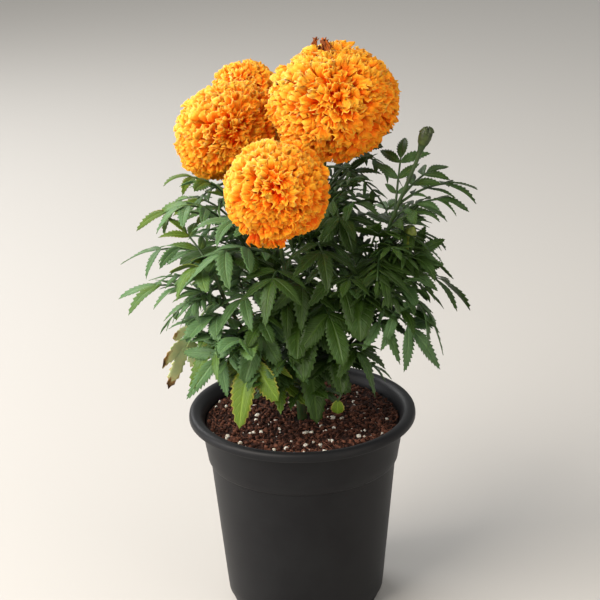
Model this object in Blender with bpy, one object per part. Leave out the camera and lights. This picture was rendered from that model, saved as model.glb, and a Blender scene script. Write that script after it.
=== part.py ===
"""Potted african marigold: a nursery pot of soil with a branched plant, four double blooms and two buds.

Lengths are in millimetres until each mesh is finished, and then in metres. +Z is up, and +Y points away
from the side that the front bloom faces. The origin is the middle of the pot's flat underside.
"""

import math
import random

import bmesh
import bpy
from mathutils import Matrix, Vector
from mathutils.bvhtree import BVHTree

METRES_PER_MM = 0.001
SEED = 7

# Driving dimensions of the pot
RIM_DIAMETER = 160.0
POT_HEIGHT = 147.0
BASE_DIAMETER = 112.4
FOOT_DIAMETER = 107.0
FOOT_HEIGHT = 6.0
STEP_HEIGHT = 110.0
STEP_DIAMETER = 131.8
COLLAR_OUT = 1.7
COLLAR_BEND = 14.0
COLLAR_FLARE = 3.0
EDGE_ROUND = 1.5
LIP_DEPTH = 6.0
LIP_WIDTH = 8.4
WALL = 1.5
FLOOR = 1.8
POT_SIDES = 24
DRAIN_HOLES = 6
DRAIN_DIAMETER = 8.0
DRAIN_CIRCLE_RADIUS = 34.0

# Soil
SOIL_HEIGHT = 138.0
SOIL_RELIEF = 1.6
SOIL_RINGS = (52.0, 34.0, 17.0)
SOIL_EDGE_INSET = 0.2
HOLE_FLOOR = 112.0
HOLE_PLAY = 0.6

# Clearance between pieces that touch on the real plant
GAP = 0.3

# Plant
TRUNK_RADIUS = 3.6
BRANCH_RADIUS = 2.0
NECK_RADIUS = 1.7
STEM_STATION = 22.0
STEM_STUB = 4.0
CUP_LENGTH = 22.0
LEAF_THICKNESS = 0.8
PETAL_THICKNESS = 0.8
LEAF_CLEARANCE = 0.35
LEAF_DROOP = 0.30
RIB_HALF_WIDTH = 0.8
LEAFLET_ROOT = 1.3
LEAFLET_SPACING = 0.52
SHARP_ANGLE = 35.0

# Shares of a leaflet's own length: its half width, its widest place and the notch ahead of its tooth
LEAFLET_WIDE = 0.155
LEAFLET_WAIST = 0.46
LEAFLET_NOTCH = 0.56

# Each bloom: centre, half width, turn to the right and lift of the axis in degrees, petals in each tier
BLOOMS = {
    "bloom_large": dict(centre=(25, 0, 365), radius=43.0, turn=6, lift=34, tiers=(12, 10, 8, 5, 2)),
    "bloom_front": dict(centre=(-14, -62, 325), radius=34.5, turn=0, lift=36, tiers=(10, 9, 7, 4, 2)),
    "bloom_left": dict(centre=(-49, 30, 342), radius=37.0, turn=17, lift=28, tiers=(10, 9, 7, 4, 2)),
    "bloom_back": dict(centre=(-36, 98, 348), radius=29.0, turn=-10, lift=45, tiers=(8, 7, 5, 3, 2)),
}
BLOOM_DEPTH = 0.8
BLOOM_HEIGHT = 0.92
BLOOM_BACK = 0.46
HEART_SIDES = 10
CUP_WIDTH = 0.22

# Petals: where they leave the core, how they bulge and curl towards the tip, and the tiers they stand in
PETAL_ROOT = 0.40
PETAL_BULGE = 0.433
PETAL_ROOT_TILT = -13.0
PETAL_TIP_TILT = 4.0
PETAL_CURL = 0.65
PETAL_HALF_SHARE = 0.94
OUTER_TIER_ANGLE = 104.0
TIER_STEP = 22.0

# Each stem: its height on the trunk, its route, the bloom or bud on its end, and its leaves. A leaf is its
# place along the stem from 0 to 1, its tip, the length of its leaflets, their pairs and the arch of its rib.
STEMS = {
    "main_stem": dict(
        route=[(0, 0, 134), (-1, 1, 160), (0, 4, 195), (5, 10, 232), (12, 20, 270), (18, 32, 305)],
        bloom="bloom_large",
        leaves=[
            (0.16, (26, -26, 156), 18, 1, 0.30),
            (0.33, (10, -54, 158), 36, 1, 0.30),
            (0.42, (-6, -62, 204), 32, 2, 0.25),
            (0.50, (-16, -56, 228), 30, 2, 0.30),
            (0.47, (28, -64, 204), 29, 1, 0.28),
            (0.56, (36, -58, 232), 30, 2, 0.28),
            (0.62, (19, -64, 258), 30, 2, 0.22),
            (0.68, (54, -22, 296), 26, 2, 0.20),
            (0.72, (56, 36, 320), 24, 3, 0.12),
            (0.78, (64, 26, 340), 22, 2, 0.10),
            (0.58, (68, 60, 262), 28, 3, 0.25),
            (0.66, (38, -40, 286), 24, 2, 0.22),
        ],
    ),
    "front_stem": dict(
        height=198,
        route=[(-5, -11, 214), (-9, -15, 245), (-12, -19, 275)],
        bloom="bloom_front",
        leaves=[
            (0.60, (-78, -56, 256), 35, 2, 0.25),
            (0.50, (-24, -80, 248), 30, 2, 0.28),
            (0.36, (-52, -64, 226), 28, 2, 0.25),
            (0.72, (-70, -30, 288), 28, 2, 0.20),
            (0.24, (-34, -68, 200), 26, 1, 0.25),
        ],
    ),
    "left_stem": dict(
        height=186,
        route=[(-14, 6, 202), (-27, 20, 235), (-40, 40, 266), (-51, 57, 298)],
        bloom="bloom_left",
        leaves=[
            (0.55, (-113, 10, 280), 27, 3, 0.20),
            (0.75, (-94, 36, 303), 23, 2, 0.18),
            (0.50, (-97, -16, 274), 33, 2, 0.30),
            (0.66, (-80, 4, 308), 25, 2, 0.22),
            (0.38, (-123, 4, 256), 27, 3, 0.16),
            (0.60, (-98, 84, 268), 27, 3, 0.22),
        ],
    ),
    "back_stem": dict(
        height=176,
        route=[(-3, 16, 192), (-10, 40, 236), (-22, 78, 276), (-30, 106, 304)],
        bloom="bloom_back",
        leaves=[
            (0.45, (-62, 98, 244), 27, 3, 0.22),
            (0.50, (38, 106, 260), 27, 3, 0.22),
            (0.66, (-20, 132, 246), 26, 2, 0.25),
            (0.74, (-80, 112, 292), 25, 2, 0.20),
        ],
    ),
    "bud_stem": dict(
        height=180,
        route=[(16, -4, 196), (33, -11, 226), (52, -18, 264), (68, -20, 304), (77, -20, 326)],
        bud=((79, -20, 331), (86, -20, 352), 5.4),
        twig=[(0.66, (66, -17, 266), (74, -17, 270)), ((74.5, -19, 274), (75.5, -20, 288), 4.0)],
        leaves=[
            (0.45, (121, -10, 225), 30, 3, 0.20),
            (0.52, (104, -26, 250), 26, 2, 0.25),
            (0.60, (102, -2, 264), 24, 2, 0.25),
            (0.84, (122, 6, 302), 25, 2, 0.14),
            (0.87, (102, 2, 321), 20, 2, 0.12),
            (0.72, (94, -38, 296), 23, 2, 0.20),
            (0.56, (62, -54, 240), 28, 2, 0.25),
            (0.80, (74, 14, 336), 21, 2, 0.10),
            (0.66, (46, -42, 292), 25, 2, 0.20),
            (0.78, (116, -16, 284), 23, 2, 0.16),
            (0.55, (96, 48, 276), 27, 3, 0.22),
        ],
    ),
    "low_left_stem": dict(
        height=165,
        route=[(-14, -8, 174), (-32, -20, 203), (-48, -28, 234), (-58, -31, 262)],
        leaves=[
            (0.92, (-88, -46, 254), 30, 1, 0.38),
            (0.75, (-124, -12, 236), 29, 3, 0.16),
            (0.62, (-76, -52, 224), 26, 1, 0.25),
            (0.50, (-77, -46, 180), 30, 2, 0.32),
            (0.97, (-64, -8, 306), 22, 2, 0.10),
            (0.40, (-60, -46, 196), 26, 2, 0.25),
        ],
    ),
    "low_front_stem": dict(
        height=156,
        route=[(-9, -15, 165), (-19, -28, 186), (-28, -40, 207)],
        leaves=[
            (0.88, (-44, -64, 160), 36, 1, 0.34),
            (0.78, (-4, -62, 180), 30, 1, 0.30),
            (0.95, (-66, -56, 200), 28, 1, 0.22),
            (0.97, (-40, -78, 218), 25, 1, 0.20),
        ],
    ),
    "low_right_stem": dict(
        height=170,
        route=[(13, -8, 178), (30, -18, 198), (47, -26, 224), (57, -30, 246)],
        leaves=[
            (0.35, (51, -52, 176), 30, 2, 0.38),
            (0.28, (27, -54, 184), 26, 1, 0.32),
            (0.92, (101, -26, 196), 33, 2, 0.30),
            (0.72, (66, -50, 198), 25, 2, 0.32),
            (0.97, (88, -20, 240), 21, 1, 0.22),
            (0.60, (94, -38, 216), 27, 2, 0.28),
        ],
    ),
    "back_left_stem": dict(
        height=162,
        route=[(-14, 12, 172), (-30, 30, 196), (-44, 48, 226)],
        leaves=[
            (0.60, (-98, 24, 206), 29, 3, 0.24),
            (0.75, (-70, 100, 204), 29, 3, 0.24),
            (0.97, (-104, 62, 240), 27, 2, 0.20),
        ],
    ),
    "back_right_stem": dict(
        height=168,
        route=[(14, 12, 178), (32, 30, 204), (48, 46, 236)],
        leaves=[
            (0.55, (94, 20, 208), 29, 3, 0.24),
            (0.72, (54, 104, 210), 29, 3, 0.24),
            (0.92, (106, 58, 236), 27, 2, 0.22),
            (0.97, (82, 88, 270), 25, 2, 0.20),
        ],
    ),
}
WITHERED = dict(
    stem="low_left_stem", place=0.80, side=(-1, -0.2), tip=(-92, -24, 172), leaflet=26, pairs=1, arch=0.25,
)

# Turns in degrees, sideways and up, that a leaf tries until it lies clear of the rest of the plant
LEAF_TURNS = [(0, 0)] + [
    (sideways * step, up * step)
    for step in (7, 14, 21, 28)
    for sideways, up in ((1, 0), (-1, 0), (0, 1), (0, -1), (1, 1), (-1, 1), (1, -1), (-1, -1))
]


def material(name, colour, roughness):
    made = bpy.data.materials.new(name)
    made.use_nodes = True
    shader = made.node_tree.nodes["Principled BSDF"]
    shader.inputs["Base Color"].default_value = (*colour, 1.0)
    shader.inputs["Roughness"].default_value = roughness
    shader.inputs["Metallic"].default_value = 0.0
    made.diffuse_color = (*colour, 1.0)
    return made


def face_outwards(bm):
    bmesh.ops.recalc_face_normals(bm, faces=bm.faces[:])
    if bm.calc_volume(signed=True) < 0:
        bmesh.ops.reverse_faces(bm, faces=bm.faces[:])
    return bm


def object_of(name, bm):
    """An object in the scene, of a bmesh that this call frees."""
    mesh = bpy.data.meshes.new(name)
    bm.to_mesh(mesh)
    bm.free()
    made = bpy.data.objects.new(name, mesh)
    bpy.context.scene.collection.objects.link(made)
    return made


def apply_modifiers(made):
    bpy.context.view_layer.update()
    graph = bpy.context.evaluated_depsgraph_get()
    mesh = bpy.data.meshes.new_from_object(made.evaluated_get(graph))
    made.modifiers.clear()
    made.data = mesh


def joined(made, pieces):
    """Joins the pieces to an object as one closed body, and removes them."""
    group = bpy.data.collections.new(made.name + "_pieces")
    bpy.context.scene.collection.children.link(group)
    for piece in pieces:
        bpy.context.scene.collection.objects.unlink(piece)
        group.objects.link(piece)
    union = made.modifiers.new("union", "BOOLEAN")
    union.operation = "UNION"
    union.solver = "EXACT"
    union.operand_type = "COLLECTION"
    union.collection = group
    apply_modifiers(made)
    for piece in pieces:
        bpy.data.objects.remove(piece)
    bpy.data.collections.remove(group)


def to_metres(made, finish):
    """The finished mesh, with its one material, in metres."""
    made.data.transform(Matrix.Scale(METRES_PER_MM, 4))
    made.data.materials.clear()
    made.data.materials.append(finish)
    made.data.shade_smooth()
    made.data.set_sharp_from_angle(angle=math.radians(SHARP_ANGLE))


def turned(profile, sides):
    """A bmesh of a closed (radius, height) profile spun once round the Z axis."""
    bm = bmesh.new()
    line = [bm.verts.new((radius, 0, height)) for radius, height in profile]
    for low, high in zip(line, line[1:]):
        bm.edges.new((low, high))
    bmesh.ops.spin(
        bm, geom=bm.verts[:] + bm.edges[:], axis=(0, 0, 1), cent=(0, 0, 0),
        angle=math.tau, steps=sides, use_merge=True,
    )
    bmesh.ops.remove_doubles(bm, verts=bm.verts[:], dist=1e-4)
    return face_outwards(bm)


def smooth_route(points, station):
    """Points about a station apart on one smooth curve through the given ones."""
    points = [Vector(p) for p in points]
    ends = [2 * points[0] - points[1]] + points + [2 * points[-1] - points[-2]]
    made = [points[0]]
    for before, start, end, after in zip(ends, ends[1:], ends[2:], ends[3:]):
        steps = max(1, round((end - start).length / station))
        for step in range(1, steps + 1):
            t = step / steps
            made.append(
                0.5 * (
                    2 * start + (end - before) * t + (2 * before - 5 * start + 4 * end - after) * t * t
                    + (3 * start - before - 3 * end + after) * t ** 3
                )
            )
    return made


def along(route, share):
    """The point at this share of a route's length."""
    lengths = [(b - a).length for a, b in zip(route, route[1:])]
    left = share * sum(lengths)
    for start, end, length in zip(route, route[1:], lengths):
        if left <= length:
            return start.lerp(end, left / length)
        left -= length
    return route[-1]


def tube(name, route, radii):
    """A six-sided stem of these radii along a route."""
    curve = bpy.data.curves.new(name, "CURVE")
    curve.dimensions = "3D"
    curve.bevel_depth = 1.0
    curve.bevel_resolution = 1
    curve.use_fill_caps = True
    spline = curve.splines.new("POLY")
    spline.points.add(len(route) - 1)
    for point, place, radius in zip(spline.points, route, radii):
        point.co = (*place, 1.0)
        point.radius = radius
    guide = bpy.data.objects.new(name, curve)
    bpy.context.scene.collection.objects.link(guide)
    bpy.context.view_layer.update()
    mesh = bpy.data.meshes.new_from_object(guide.evaluated_get(bpy.context.evaluated_depsgraph_get()))
    bpy.data.objects.remove(guide)
    bm = bmesh.new()
    bm.from_mesh(mesh)
    bmesh.ops.remove_doubles(bm, verts=bm.verts[:], dist=1e-4)
    return face_outwards(bm)


def blade(outline, place):
    """A thin closed sheet of a flat outline, whose two faces are split into triangles alike.

    place(x, y, side) gives the point of the outline's (x, y) on the upper face, side 1, or the lower, -1.
    """
    bm = bmesh.new()
    flat = bm.faces.new([bm.verts.new((x, y, 0)) for x, y in outline])
    bmesh.ops.triangulate(bm, faces=[flat])
    lifted = bmesh.ops.extrude_face_region(bm, geom=bm.faces[:], use_keep_orig=True)["geom"]
    upper = {item for item in lifted if isinstance(item, bmesh.types.BMVert)}
    for vert in bm.verts:
        vert.co = place(vert.co.x, vert.co.y, 1 if vert in upper else -1)
    return face_outwards(bm)


def pot_inside():
    """The (radius, height) points of the pot's inner wall, from its floor up to its lip."""
    foot = FOOT_DIAMETER / 2 - WALL
    base = BASE_DIAMETER / 2 - WALL
    step = STEP_DIAMETER / 2 - WALL
    collar = step + COLLAR_OUT
    return [
        (foot, FLOOR),
        (foot, FOOT_HEIGHT + EDGE_ROUND),
        (base, FOOT_HEIGHT + 2 * EDGE_ROUND),
        (step, STEP_HEIGHT + EDGE_ROUND / 2),
        (collar, STEP_HEIGHT + 2 * EDGE_ROUND),
        (collar + 2 * COLLAR_FLARE / 3, STEP_HEIGHT + COLLAR_BEND),
        (collar + COLLAR_FLARE, POT_HEIGHT - LIP_DEPTH),
    ]


def pot_profile():
    """The pot's outline, up its outside, over the turned-down lip and down its inside."""
    rim = RIM_DIAMETER / 2
    base = BASE_DIAMETER / 2
    foot = FOOT_DIAMETER / 2
    step = STEP_DIAMETER / 2
    collar = step + COLLAR_OUT
    lip_inner = rim - LIP_WIDTH
    lip_low = POT_HEIGHT - LIP_DEPTH
    under_lip = POT_HEIGHT - WALL
    outside = [
        (0, 0),
        (foot - EDGE_ROUND, 0),
        (foot, EDGE_ROUND),
        (foot, FOOT_HEIGHT),
        (base, FOOT_HEIGHT + EDGE_ROUND),
        (step, STEP_HEIGHT),
        (collar, STEP_HEIGHT + EDGE_ROUND),
        (collar + 2 * COLLAR_FLARE / 3, STEP_HEIGHT + COLLAR_BEND),
        (collar + COLLAR_FLARE, lip_low),
        (collar + 4 * COLLAR_FLARE / 3, under_lip),
    ]
    lip = [
        (rim - WALL, under_lip),
        (rim - WALL, lip_low),
        (rim, lip_low),
        (rim, POT_HEIGHT - EDGE_ROUND),
        (rim - EDGE_ROUND, POT_HEIGHT),
        (lip_inner + EDGE_ROUND / 2, POT_HEIGHT),
        (lip_inner - EDGE_ROUND / 2, POT_HEIGHT - EDGE_ROUND),
    ]
    return outside + lip + pot_inside()[::-1] + [(0, FLOOR)]


def make_pot(finish):
    pot = object_of("pot", turned(pot_profile(), POT_SIDES))
    holes = bmesh.new()
    for index in range(DRAIN_HOLES):
        turn = Matrix.Rotation(math.tau * (index + 0.5) / DRAIN_HOLES, 4, "Z")
        bmesh.ops.create_cone(
            holes, cap_ends=True, segments=8, radius1=DRAIN_DIAMETER / 2, radius2=DRAIN_DIAMETER / 2,
            depth=4 * FLOOR, matrix=turn @ Matrix.Translation((DRAIN_CIRCLE_RADIUS, 0, FLOOR / 2)),
        )
    cutter = object_of("drain_holes", holes)
    cut = pot.modifiers.new("drain holes", "BOOLEAN")
    cut.operation = "DIFFERENCE"
    cut.solver = "EXACT"
    cut.object = cutter
    apply_modifiers(pot)
    bpy.data.objects.remove(cutter)
    to_metres(pot, finish)
    return pot


def make_soil(finish):
    """Soil up to the pot's wall, with a low relief on top and a plain hole for the trunk."""
    floor = FLOOR + GAP
    wall = [(radius - GAP, max(height, floor)) for radius, height in pot_inside()]
    edge = wall.pop()[0] - SOIL_EDGE_INSET
    hole = TRUNK_RADIUS + HOLE_PLAY
    bottom = HOLE_FLOOR - GAP
    top = [(radius, SOIL_HEIGHT) for radius in (edge, *SOIL_RINGS, hole)]
    bm = turned([(0, floor), *wall, *top, (hole, bottom), (0, bottom)], POT_SIDES)
    draw = random.Random(SEED)
    for vert in bm.verts:
        on_top = abs(vert.co.z - SOIL_HEIGHT) < GAP
        if on_top and 2 * hole < vert.co.xy.length < edge - 1:
            vert.co.z += SOIL_RELIEF * (draw.random() - 0.35)
    soil = object_of("soil", bm)
    to_metres(soil, finish)
    return soil


def bloom_axes(bloom):
    """The bloom's own frame: its sideways, upward and forward unit vectors."""
    turn = math.radians(bloom["turn"])
    lift = math.radians(bloom["lift"])
    forward = Vector((math.sin(turn) * math.cos(lift), -math.cos(turn) * math.cos(lift), math.sin(lift)))
    sideways = Vector((math.cos(turn), math.sin(turn), 0))
    return sideways, forward.cross(sideways), forward


def bloom_point(bloom, reach, polar, round_axis):
    """The point at this share of the bloom's radius, polar angle from its axis and angle round it."""
    sideways, upward, forward = bloom_axes(bloom)
    radius = bloom["radius"] * reach
    return (
        Vector(bloom["centre"])
        + sideways * radius * math.sin(polar) * math.cos(round_axis)
        + upward * radius * BLOOM_HEIGHT * math.sin(polar) * math.sin(round_axis)
        + forward * radius * BLOOM_DEPTH * math.cos(polar)
    )


def petal(bloom, polar, round_axis, half_angle):
    """One petal: it rises out of the core, widens and curls outwards to a notched tip."""
    outline = [(0, -0.5), (1.0, -0.9), (0.9, 0), (1.0, 0.9), (0, 0.5)]

    def middle(x, y):
        reach = PETAL_ROOT + (1 - PETAL_ROOT) * x * (1 + PETAL_BULGE * (1 - x))
        curl = x * (1 - PETAL_CURL * (1 - x))
        tilt = PETAL_ROOT_TILT + (PETAL_TIP_TILT - PETAL_ROOT_TILT) * curl
        return bloom_point(bloom, reach, polar + math.radians(tilt), round_axis + half_angle * y)

    def place(x, y, side):
        step = 1e-3
        lengthwise = middle(x + step, y) - middle(x - step, y)
        across = middle(x, y + step) - middle(x, y - step)
        return middle(x, y) + lengthwise.cross(across).normalized() * side * PETAL_THICKNESS / 2

    return blade(outline, place)


def make_bloom(name, finish):
    """A double bloom: tiers of petals that stand out of one solid heart."""
    bloom = BLOOMS[name]
    back = [(0, -BLOOM_BACK), (0.25, -BLOOM_BACK), (0.56, -0.12)]
    front = [(0.54, 0.26), (0.26, 0.54), (0, 0.60)]
    heart = turned(back + front, HEART_SIDES)
    sideways, upward, forward = bloom_axes(bloom)
    frame = Matrix((sideways, upward, forward)).transposed().to_4x4()
    frame.translation = Vector(bloom["centre"])
    bmesh.ops.transform(heart, matrix=frame @ Matrix.Scale(bloom["radius"], 4), verts=heart.verts[:])
    head = object_of(name, heart)
    pieces = []
    for tier, count in enumerate(bloom["tiers"]):
        polar = math.radians(OUTER_TIER_ANGLE - TIER_STEP * tier)
        for index in range(count):
            round_axis = math.tau * (index + 0.5 * (tier % 2)) / count
            shape = petal(bloom, polar, round_axis, PETAL_HALF_SHARE * math.pi / count)
            pieces.append(object_of(f"{name}_petal", shape))
    joined(head, pieces)
    return head


def cup_route(bloom):
    """Where the green cup under a bloom starts, and where it meets the bloom's heart."""
    forward = bloom_axes(bloom)[2]
    top = Vector(bloom["centre"]) - forward * (bloom["radius"] * BLOOM_BACK + GAP)
    return [top - forward * CUP_LENGTH, top]


def stem_route(name, trunk):
    """The stem's whole route, from the trunk's side, or from the soil for the trunk itself, to its cup."""
    stem = STEMS[name]
    route = [Vector(p) for p in stem["route"]]
    if "height" in stem:
        above = next(i for i, p in enumerate(trunk) if p.z > stem["height"])
        share = (stem["height"] - trunk[above - 1].z) / (trunk[above].z - trunk[above - 1].z)
        centre = trunk[above - 1].lerp(trunk[above], share)
        outward = (route[0] - centre).to_2d().normalized().to_3d()
        root = centre + outward * (trunk_radius(stem["height"]) + GAP)
        route = [root, root + outward * STEM_STUB] + route
    if "bloom" in stem:
        route.append(cup_route(BLOOMS[stem["bloom"]])[0])
    made = smooth_route(route, STEM_STATION)
    if "height" not in stem:
        made.insert(0, Vector((0, 0, HOLE_FLOOR)))
    return made


def trunk_radius(height):
    return TRUNK_RADIUS - (TRUNK_RADIUS - NECK_RADIUS) * (height - SOIL_HEIGHT) / 200


def swelling(start, end, radii, first=0.0):
    """Points and radii of a cup or a bud between two points."""
    shares = [first + (1 - first) * i / (len(radii) - 1) for i in range(len(radii))]
    return [Vector(start).lerp(Vector(end), share) for share in shares], list(radii)


def stem_tube(name, route):
    """The bare stem with its cup or its buds, in one or more closed tubes."""
    stem = STEMS[name]
    count = len(route)
    if name == "main_stem":
        radii = [min(TRUNK_RADIUS, trunk_radius(p.z)) for p in route]
    else:
        radii = [BRANCH_RADIUS + (NECK_RADIUS - BRANCH_RADIUS) * i / count for i in range(count)]
    if "bloom" in stem:
        bloom = BLOOMS[stem["bloom"]]
        wide = CUP_WIDTH * bloom["radius"]
        cup, cup_radii = swelling(*cup_route(bloom), (0.45 * wide, 0.85 * wide, wide, 0.95 * wide), 0.25)
        return [tube(name, route + cup, radii + cup_radii)]
    if "bud" not in stem:
        return [tube(name, route + [route[-1] + (route[-1] - route[-2]).normalized() * 3], radii + [0.7])]
    shapes = []
    start, end, wide = stem["bud"]
    head, head_radii = swelling(start, end, (0.5 * wide, 0.6 * wide, wide, wide, 0.62 * wide, 0.3 * wide))
    shapes.append(tube(name, route + head, radii + head_radii))
    (place, *bend), (start, end, wide) = stem["twig"]
    twig = smooth_route([along(route, place), *bend], 8)
    head, head_radii = swelling(start, end, (0.4 * wide, 0.8 * wide, wide, 0.5 * wide))
    shapes.append(tube(name, twig + head, [1.2] * len(twig) + head_radii))
    return shapes


def leaf_outline(length, leaflet, pairs):
    """The flat outline of a feathered leaf: toothed leaflets in pairs on a thin rib and one at the tip."""
    wide = LEAFLET_WIDE * leaflet
    last = length - leaflet - 3 * LEAFLET_ROOT
    spacing = min(LEAFLET_SPACING * leaflet, (last - 4 * LEAFLET_ROOT) / max(1, pairs - 1))

    def half(side):
        points = [(0, RIB_HALF_WIDTH * side)]
        for index in range(pairs):
            share = (index + 1) / pairs
            place = last - spacing * (pairs - 1 - index)
            reach = leaflet * (0.82 + 0.18 * share)
            lean = math.radians(58 - 10 * share)
            ahead = Vector((math.cos(lean), math.sin(lean))) * reach
            outer = Vector((-math.sin(lean), math.cos(lean))) * wide
            root = Vector((place, RIB_HALF_WIDTH))
            path = [
                root - Vector((LEAFLET_ROOT, 0)),
                root + ahead * LEAFLET_WAIST + outer,
                root + ahead * LEAFLET_NOTCH + outer * 0.62,
                root + ahead,
                root + ahead * LEAFLET_WAIST - outer,
                root + Vector((LEAFLET_ROOT, 0)),
            ]
            points += [(p.x, p.y * side) for p in path]
        base = length - leaflet
        points += [
            (base, RIB_HALF_WIDTH * side),
            (base + LEAFLET_WAIST * leaflet, 1.15 * wide * side),
            (base + LEAFLET_NOTCH * leaflet, 0.75 * wide * side),
        ]
        return points

    return half(1) + [(length, 0)] + half(-1)[::-1]


def turned_tip(base, tip, sideways, up):
    """The leaf's tip, swung about its base by these degrees."""
    reach = tip - base
    level = Vector((reach.x, reach.y, 0)).normalized()
    lifted = Matrix.Rotation(math.radians(up), 3, level.cross(Vector((0, 0, 1)))) @ reach
    return base + Matrix.Rotation(math.radians(sideways), 3, "Z") @ lifted


def leaf_blade(base, tip, leaflet, pairs, arch, thickness):
    """A feathered leaf whose rib arches from base to tip, with its leaflets bent down a little."""
    reach = tip - base
    crown = base + reach / 2 + Vector((0, 0, 2 * arch * reach.length))
    sideways = Vector((reach.x, reach.y, 0)).normalized().cross(Vector((0, 0, 1)))
    length = reach.length * (1 + 2 * arch * arch)

    def place(x, y, side):
        t = x / length
        on_rib = base * (1 - t) ** 2 + crown * 2 * t * (1 - t) + tip * t * t
        ahead = ((crown - base) * (1 - t) + (tip - crown) * t).normalized()
        upward = sideways.cross(ahead)
        bend = -LEAF_DROOP * y * y / leaflet
        return on_rib + sideways * y + upward * (bend + side * thickness / 2)

    return blade(leaf_outline(length, leaflet, pairs), place)


def place_leaf(node, base, row, obstacles):
    """The leaf at the first turn that keeps it clear of other nodes and, if it can, of its neighbours."""
    tip, leaflet, pairs, arch = row
    for neighbours in (True, False):
        for sideways, up in LEAF_TURNS:
            swung = turned_tip(base, Vector(tip), sideways, up)
            room = leaf_blade(base, swung, leaflet, pairs, arch, LEAF_THICKNESS + 2 * LEAF_CLEARANCE)
            shape = BVHTree.FromBMesh(room)
            room.free()
            near = [tree for owner, is_leaf, tree in obstacles if owner != node or (is_leaf and neighbours)]
            if not any(shape.overlap(tree) for tree in near):
                obstacles.append((node, True, shape))
                leaf = leaf_blade(base, swung, leaflet, pairs, arch, LEAF_THICKNESS)
                return object_of(node + "_leaf", leaf)
    raise ValueError(f"no clear place for a leaf of {node} with its tip at {tip}")


def tree_of(made):
    bm = bmesh.new()
    bm.from_mesh(made.data)
    tree = BVHTree.FromBMesh(bm)
    bm.free()
    return tree


def make_plant(green, orange, brown):
    obstacles = []
    blooms = [make_bloom(name, orange) for name in BLOOMS]
    trunk = stem_route("main_stem", None)
    routes = {name: stem_route(name, trunk) for name in STEMS}
    bodies = {}
    for name, route in routes.items():
        first, *rest = stem_tube(name, route)
        bodies[name] = (object_of(name, first), [object_of(name + "_twig", shape) for shape in rest])
    for name, (body, twigs) in bodies.items():
        obstacles += [(name, False, tree_of(piece)) for piece in [body, *twigs]]
    obstacles += [(head.name, False, tree_of(head)) for head in blooms]
    rim = turned(pot_profile(), POT_SIDES)
    obstacles.append(("pot", False, BVHTree.FromBMesh(rim)))
    rim.free()
    start = routes[WITHERED["stem"]]
    side = Vector((*WITHERED["side"], 0)).normalized()
    base = along(start, WITHERED["place"]) + side * (BRANCH_RADIUS + 2 * GAP)
    row = (WITHERED["tip"], WITHERED["leaflet"], WITHERED["pairs"], WITHERED["arch"])
    withered = place_leaf("withered_leaf", base, row, obstacles)
    withered.name = "withered_leaf"
    for name, route in routes.items():
        body, twigs = bodies[name]
        leaves = [
            place_leaf(name, along(route, share), leaf_row, obstacles)
            for share, *leaf_row in STEMS[name]["leaves"]
        ]
        joined(body, twigs + leaves)
        to_metres(body, green)
    for head in blooms:
        to_metres(head, orange)
    to_metres(withered, brown)


def main():
    for made in list(bpy.data.objects):
        bpy.data.objects.remove(made)
    charcoal_plastic = material("charcoal polypropylene", (0.028, 0.028, 0.030), 0.45)
    potting_mix = material("potting mix", (0.070, 0.035, 0.024), 0.95)
    leaf_green = material("leaf green", (0.045, 0.110, 0.028), 0.55)
    petal_orange = material("petal orange", (0.95, 0.32, 0.01), 0.60)
    withered_brown = material("withered leaf", (0.36, 0.22, 0.05), 0.80)
    make_pot(charcoal_plastic)
    make_soil(potting_mix)
    make_plant(leaf_green, petal_orange, withered_brown)


main()
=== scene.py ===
import random
from math import acos, atan2, cos, exp, hypot, pi, radians, sin, sqrt, tau

import bmesh
import bpy
from mathutils import Matrix, Vector, noise
from mathutils.kdtree import KDTree


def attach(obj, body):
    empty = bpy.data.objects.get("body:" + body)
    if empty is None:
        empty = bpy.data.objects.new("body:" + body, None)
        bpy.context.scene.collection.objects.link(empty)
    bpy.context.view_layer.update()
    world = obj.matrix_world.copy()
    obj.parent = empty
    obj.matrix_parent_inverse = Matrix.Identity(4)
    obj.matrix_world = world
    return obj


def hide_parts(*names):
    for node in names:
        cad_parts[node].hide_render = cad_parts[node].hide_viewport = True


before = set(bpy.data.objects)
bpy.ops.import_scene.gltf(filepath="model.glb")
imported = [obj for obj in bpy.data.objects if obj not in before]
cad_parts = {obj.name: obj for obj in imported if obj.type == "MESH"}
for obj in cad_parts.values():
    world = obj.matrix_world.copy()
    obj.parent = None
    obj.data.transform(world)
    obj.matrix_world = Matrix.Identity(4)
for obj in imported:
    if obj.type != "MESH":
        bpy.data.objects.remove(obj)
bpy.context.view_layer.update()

# Pot. The real one is a charcoal nursery pot, injection moulded in polypropylene in one shot.
# Its rim is rolled over a collar, the collar sits on the step where empty pots stack, and the tapered body ends
# in a narrower foot with six drain holes. Lengths here are in millimetres until a mesh is finished.
MM = 0.001
POT_OUTSIDE = [
    (0, 0), (51.6, 0), (52.9, 0.5), (53.5, 1.8), (53.5, 6), (55.2, 6.4), (56.2, 7.6), (56.8, 13), (65.7, 108.4),
    (65.9, 110), (67.0, 110.5), (67.6, 111.6), (68.4, 117), (69.6, 124), (70.6, 139.4), (71.6, 143.8), (73.2, 145),
]
POT_LIP = [
    (76.2, 145.1), (77.6, 144.4), (78.1, 141.4), (78.7, 141), (79.5, 141.1), (80, 141.8), (80, 143.6), (79.7, 145.2),
    (78.9, 146.4), (77.4, 147), (75.4, 146.9), (73.6, 146.4), (72.2, 145.5), (71.2, 144.2), (70.4, 142.6),
]
POT_INSIDE = [(69.1, 140), (68.1, 124), (66.1, 113), (64.4, 110.8), (54.7, 9), (52, 7.5), (52, 1.8), (0, 1.8)]
DRAIN_HOLES = 6
DRAIN_RADIUS = 4.0
DRAIN_CIRCLE = 34.0
DRILL_LENGTH = 8.0
DRILL_SIDES = 24
POT_SIDES = 128
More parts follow.
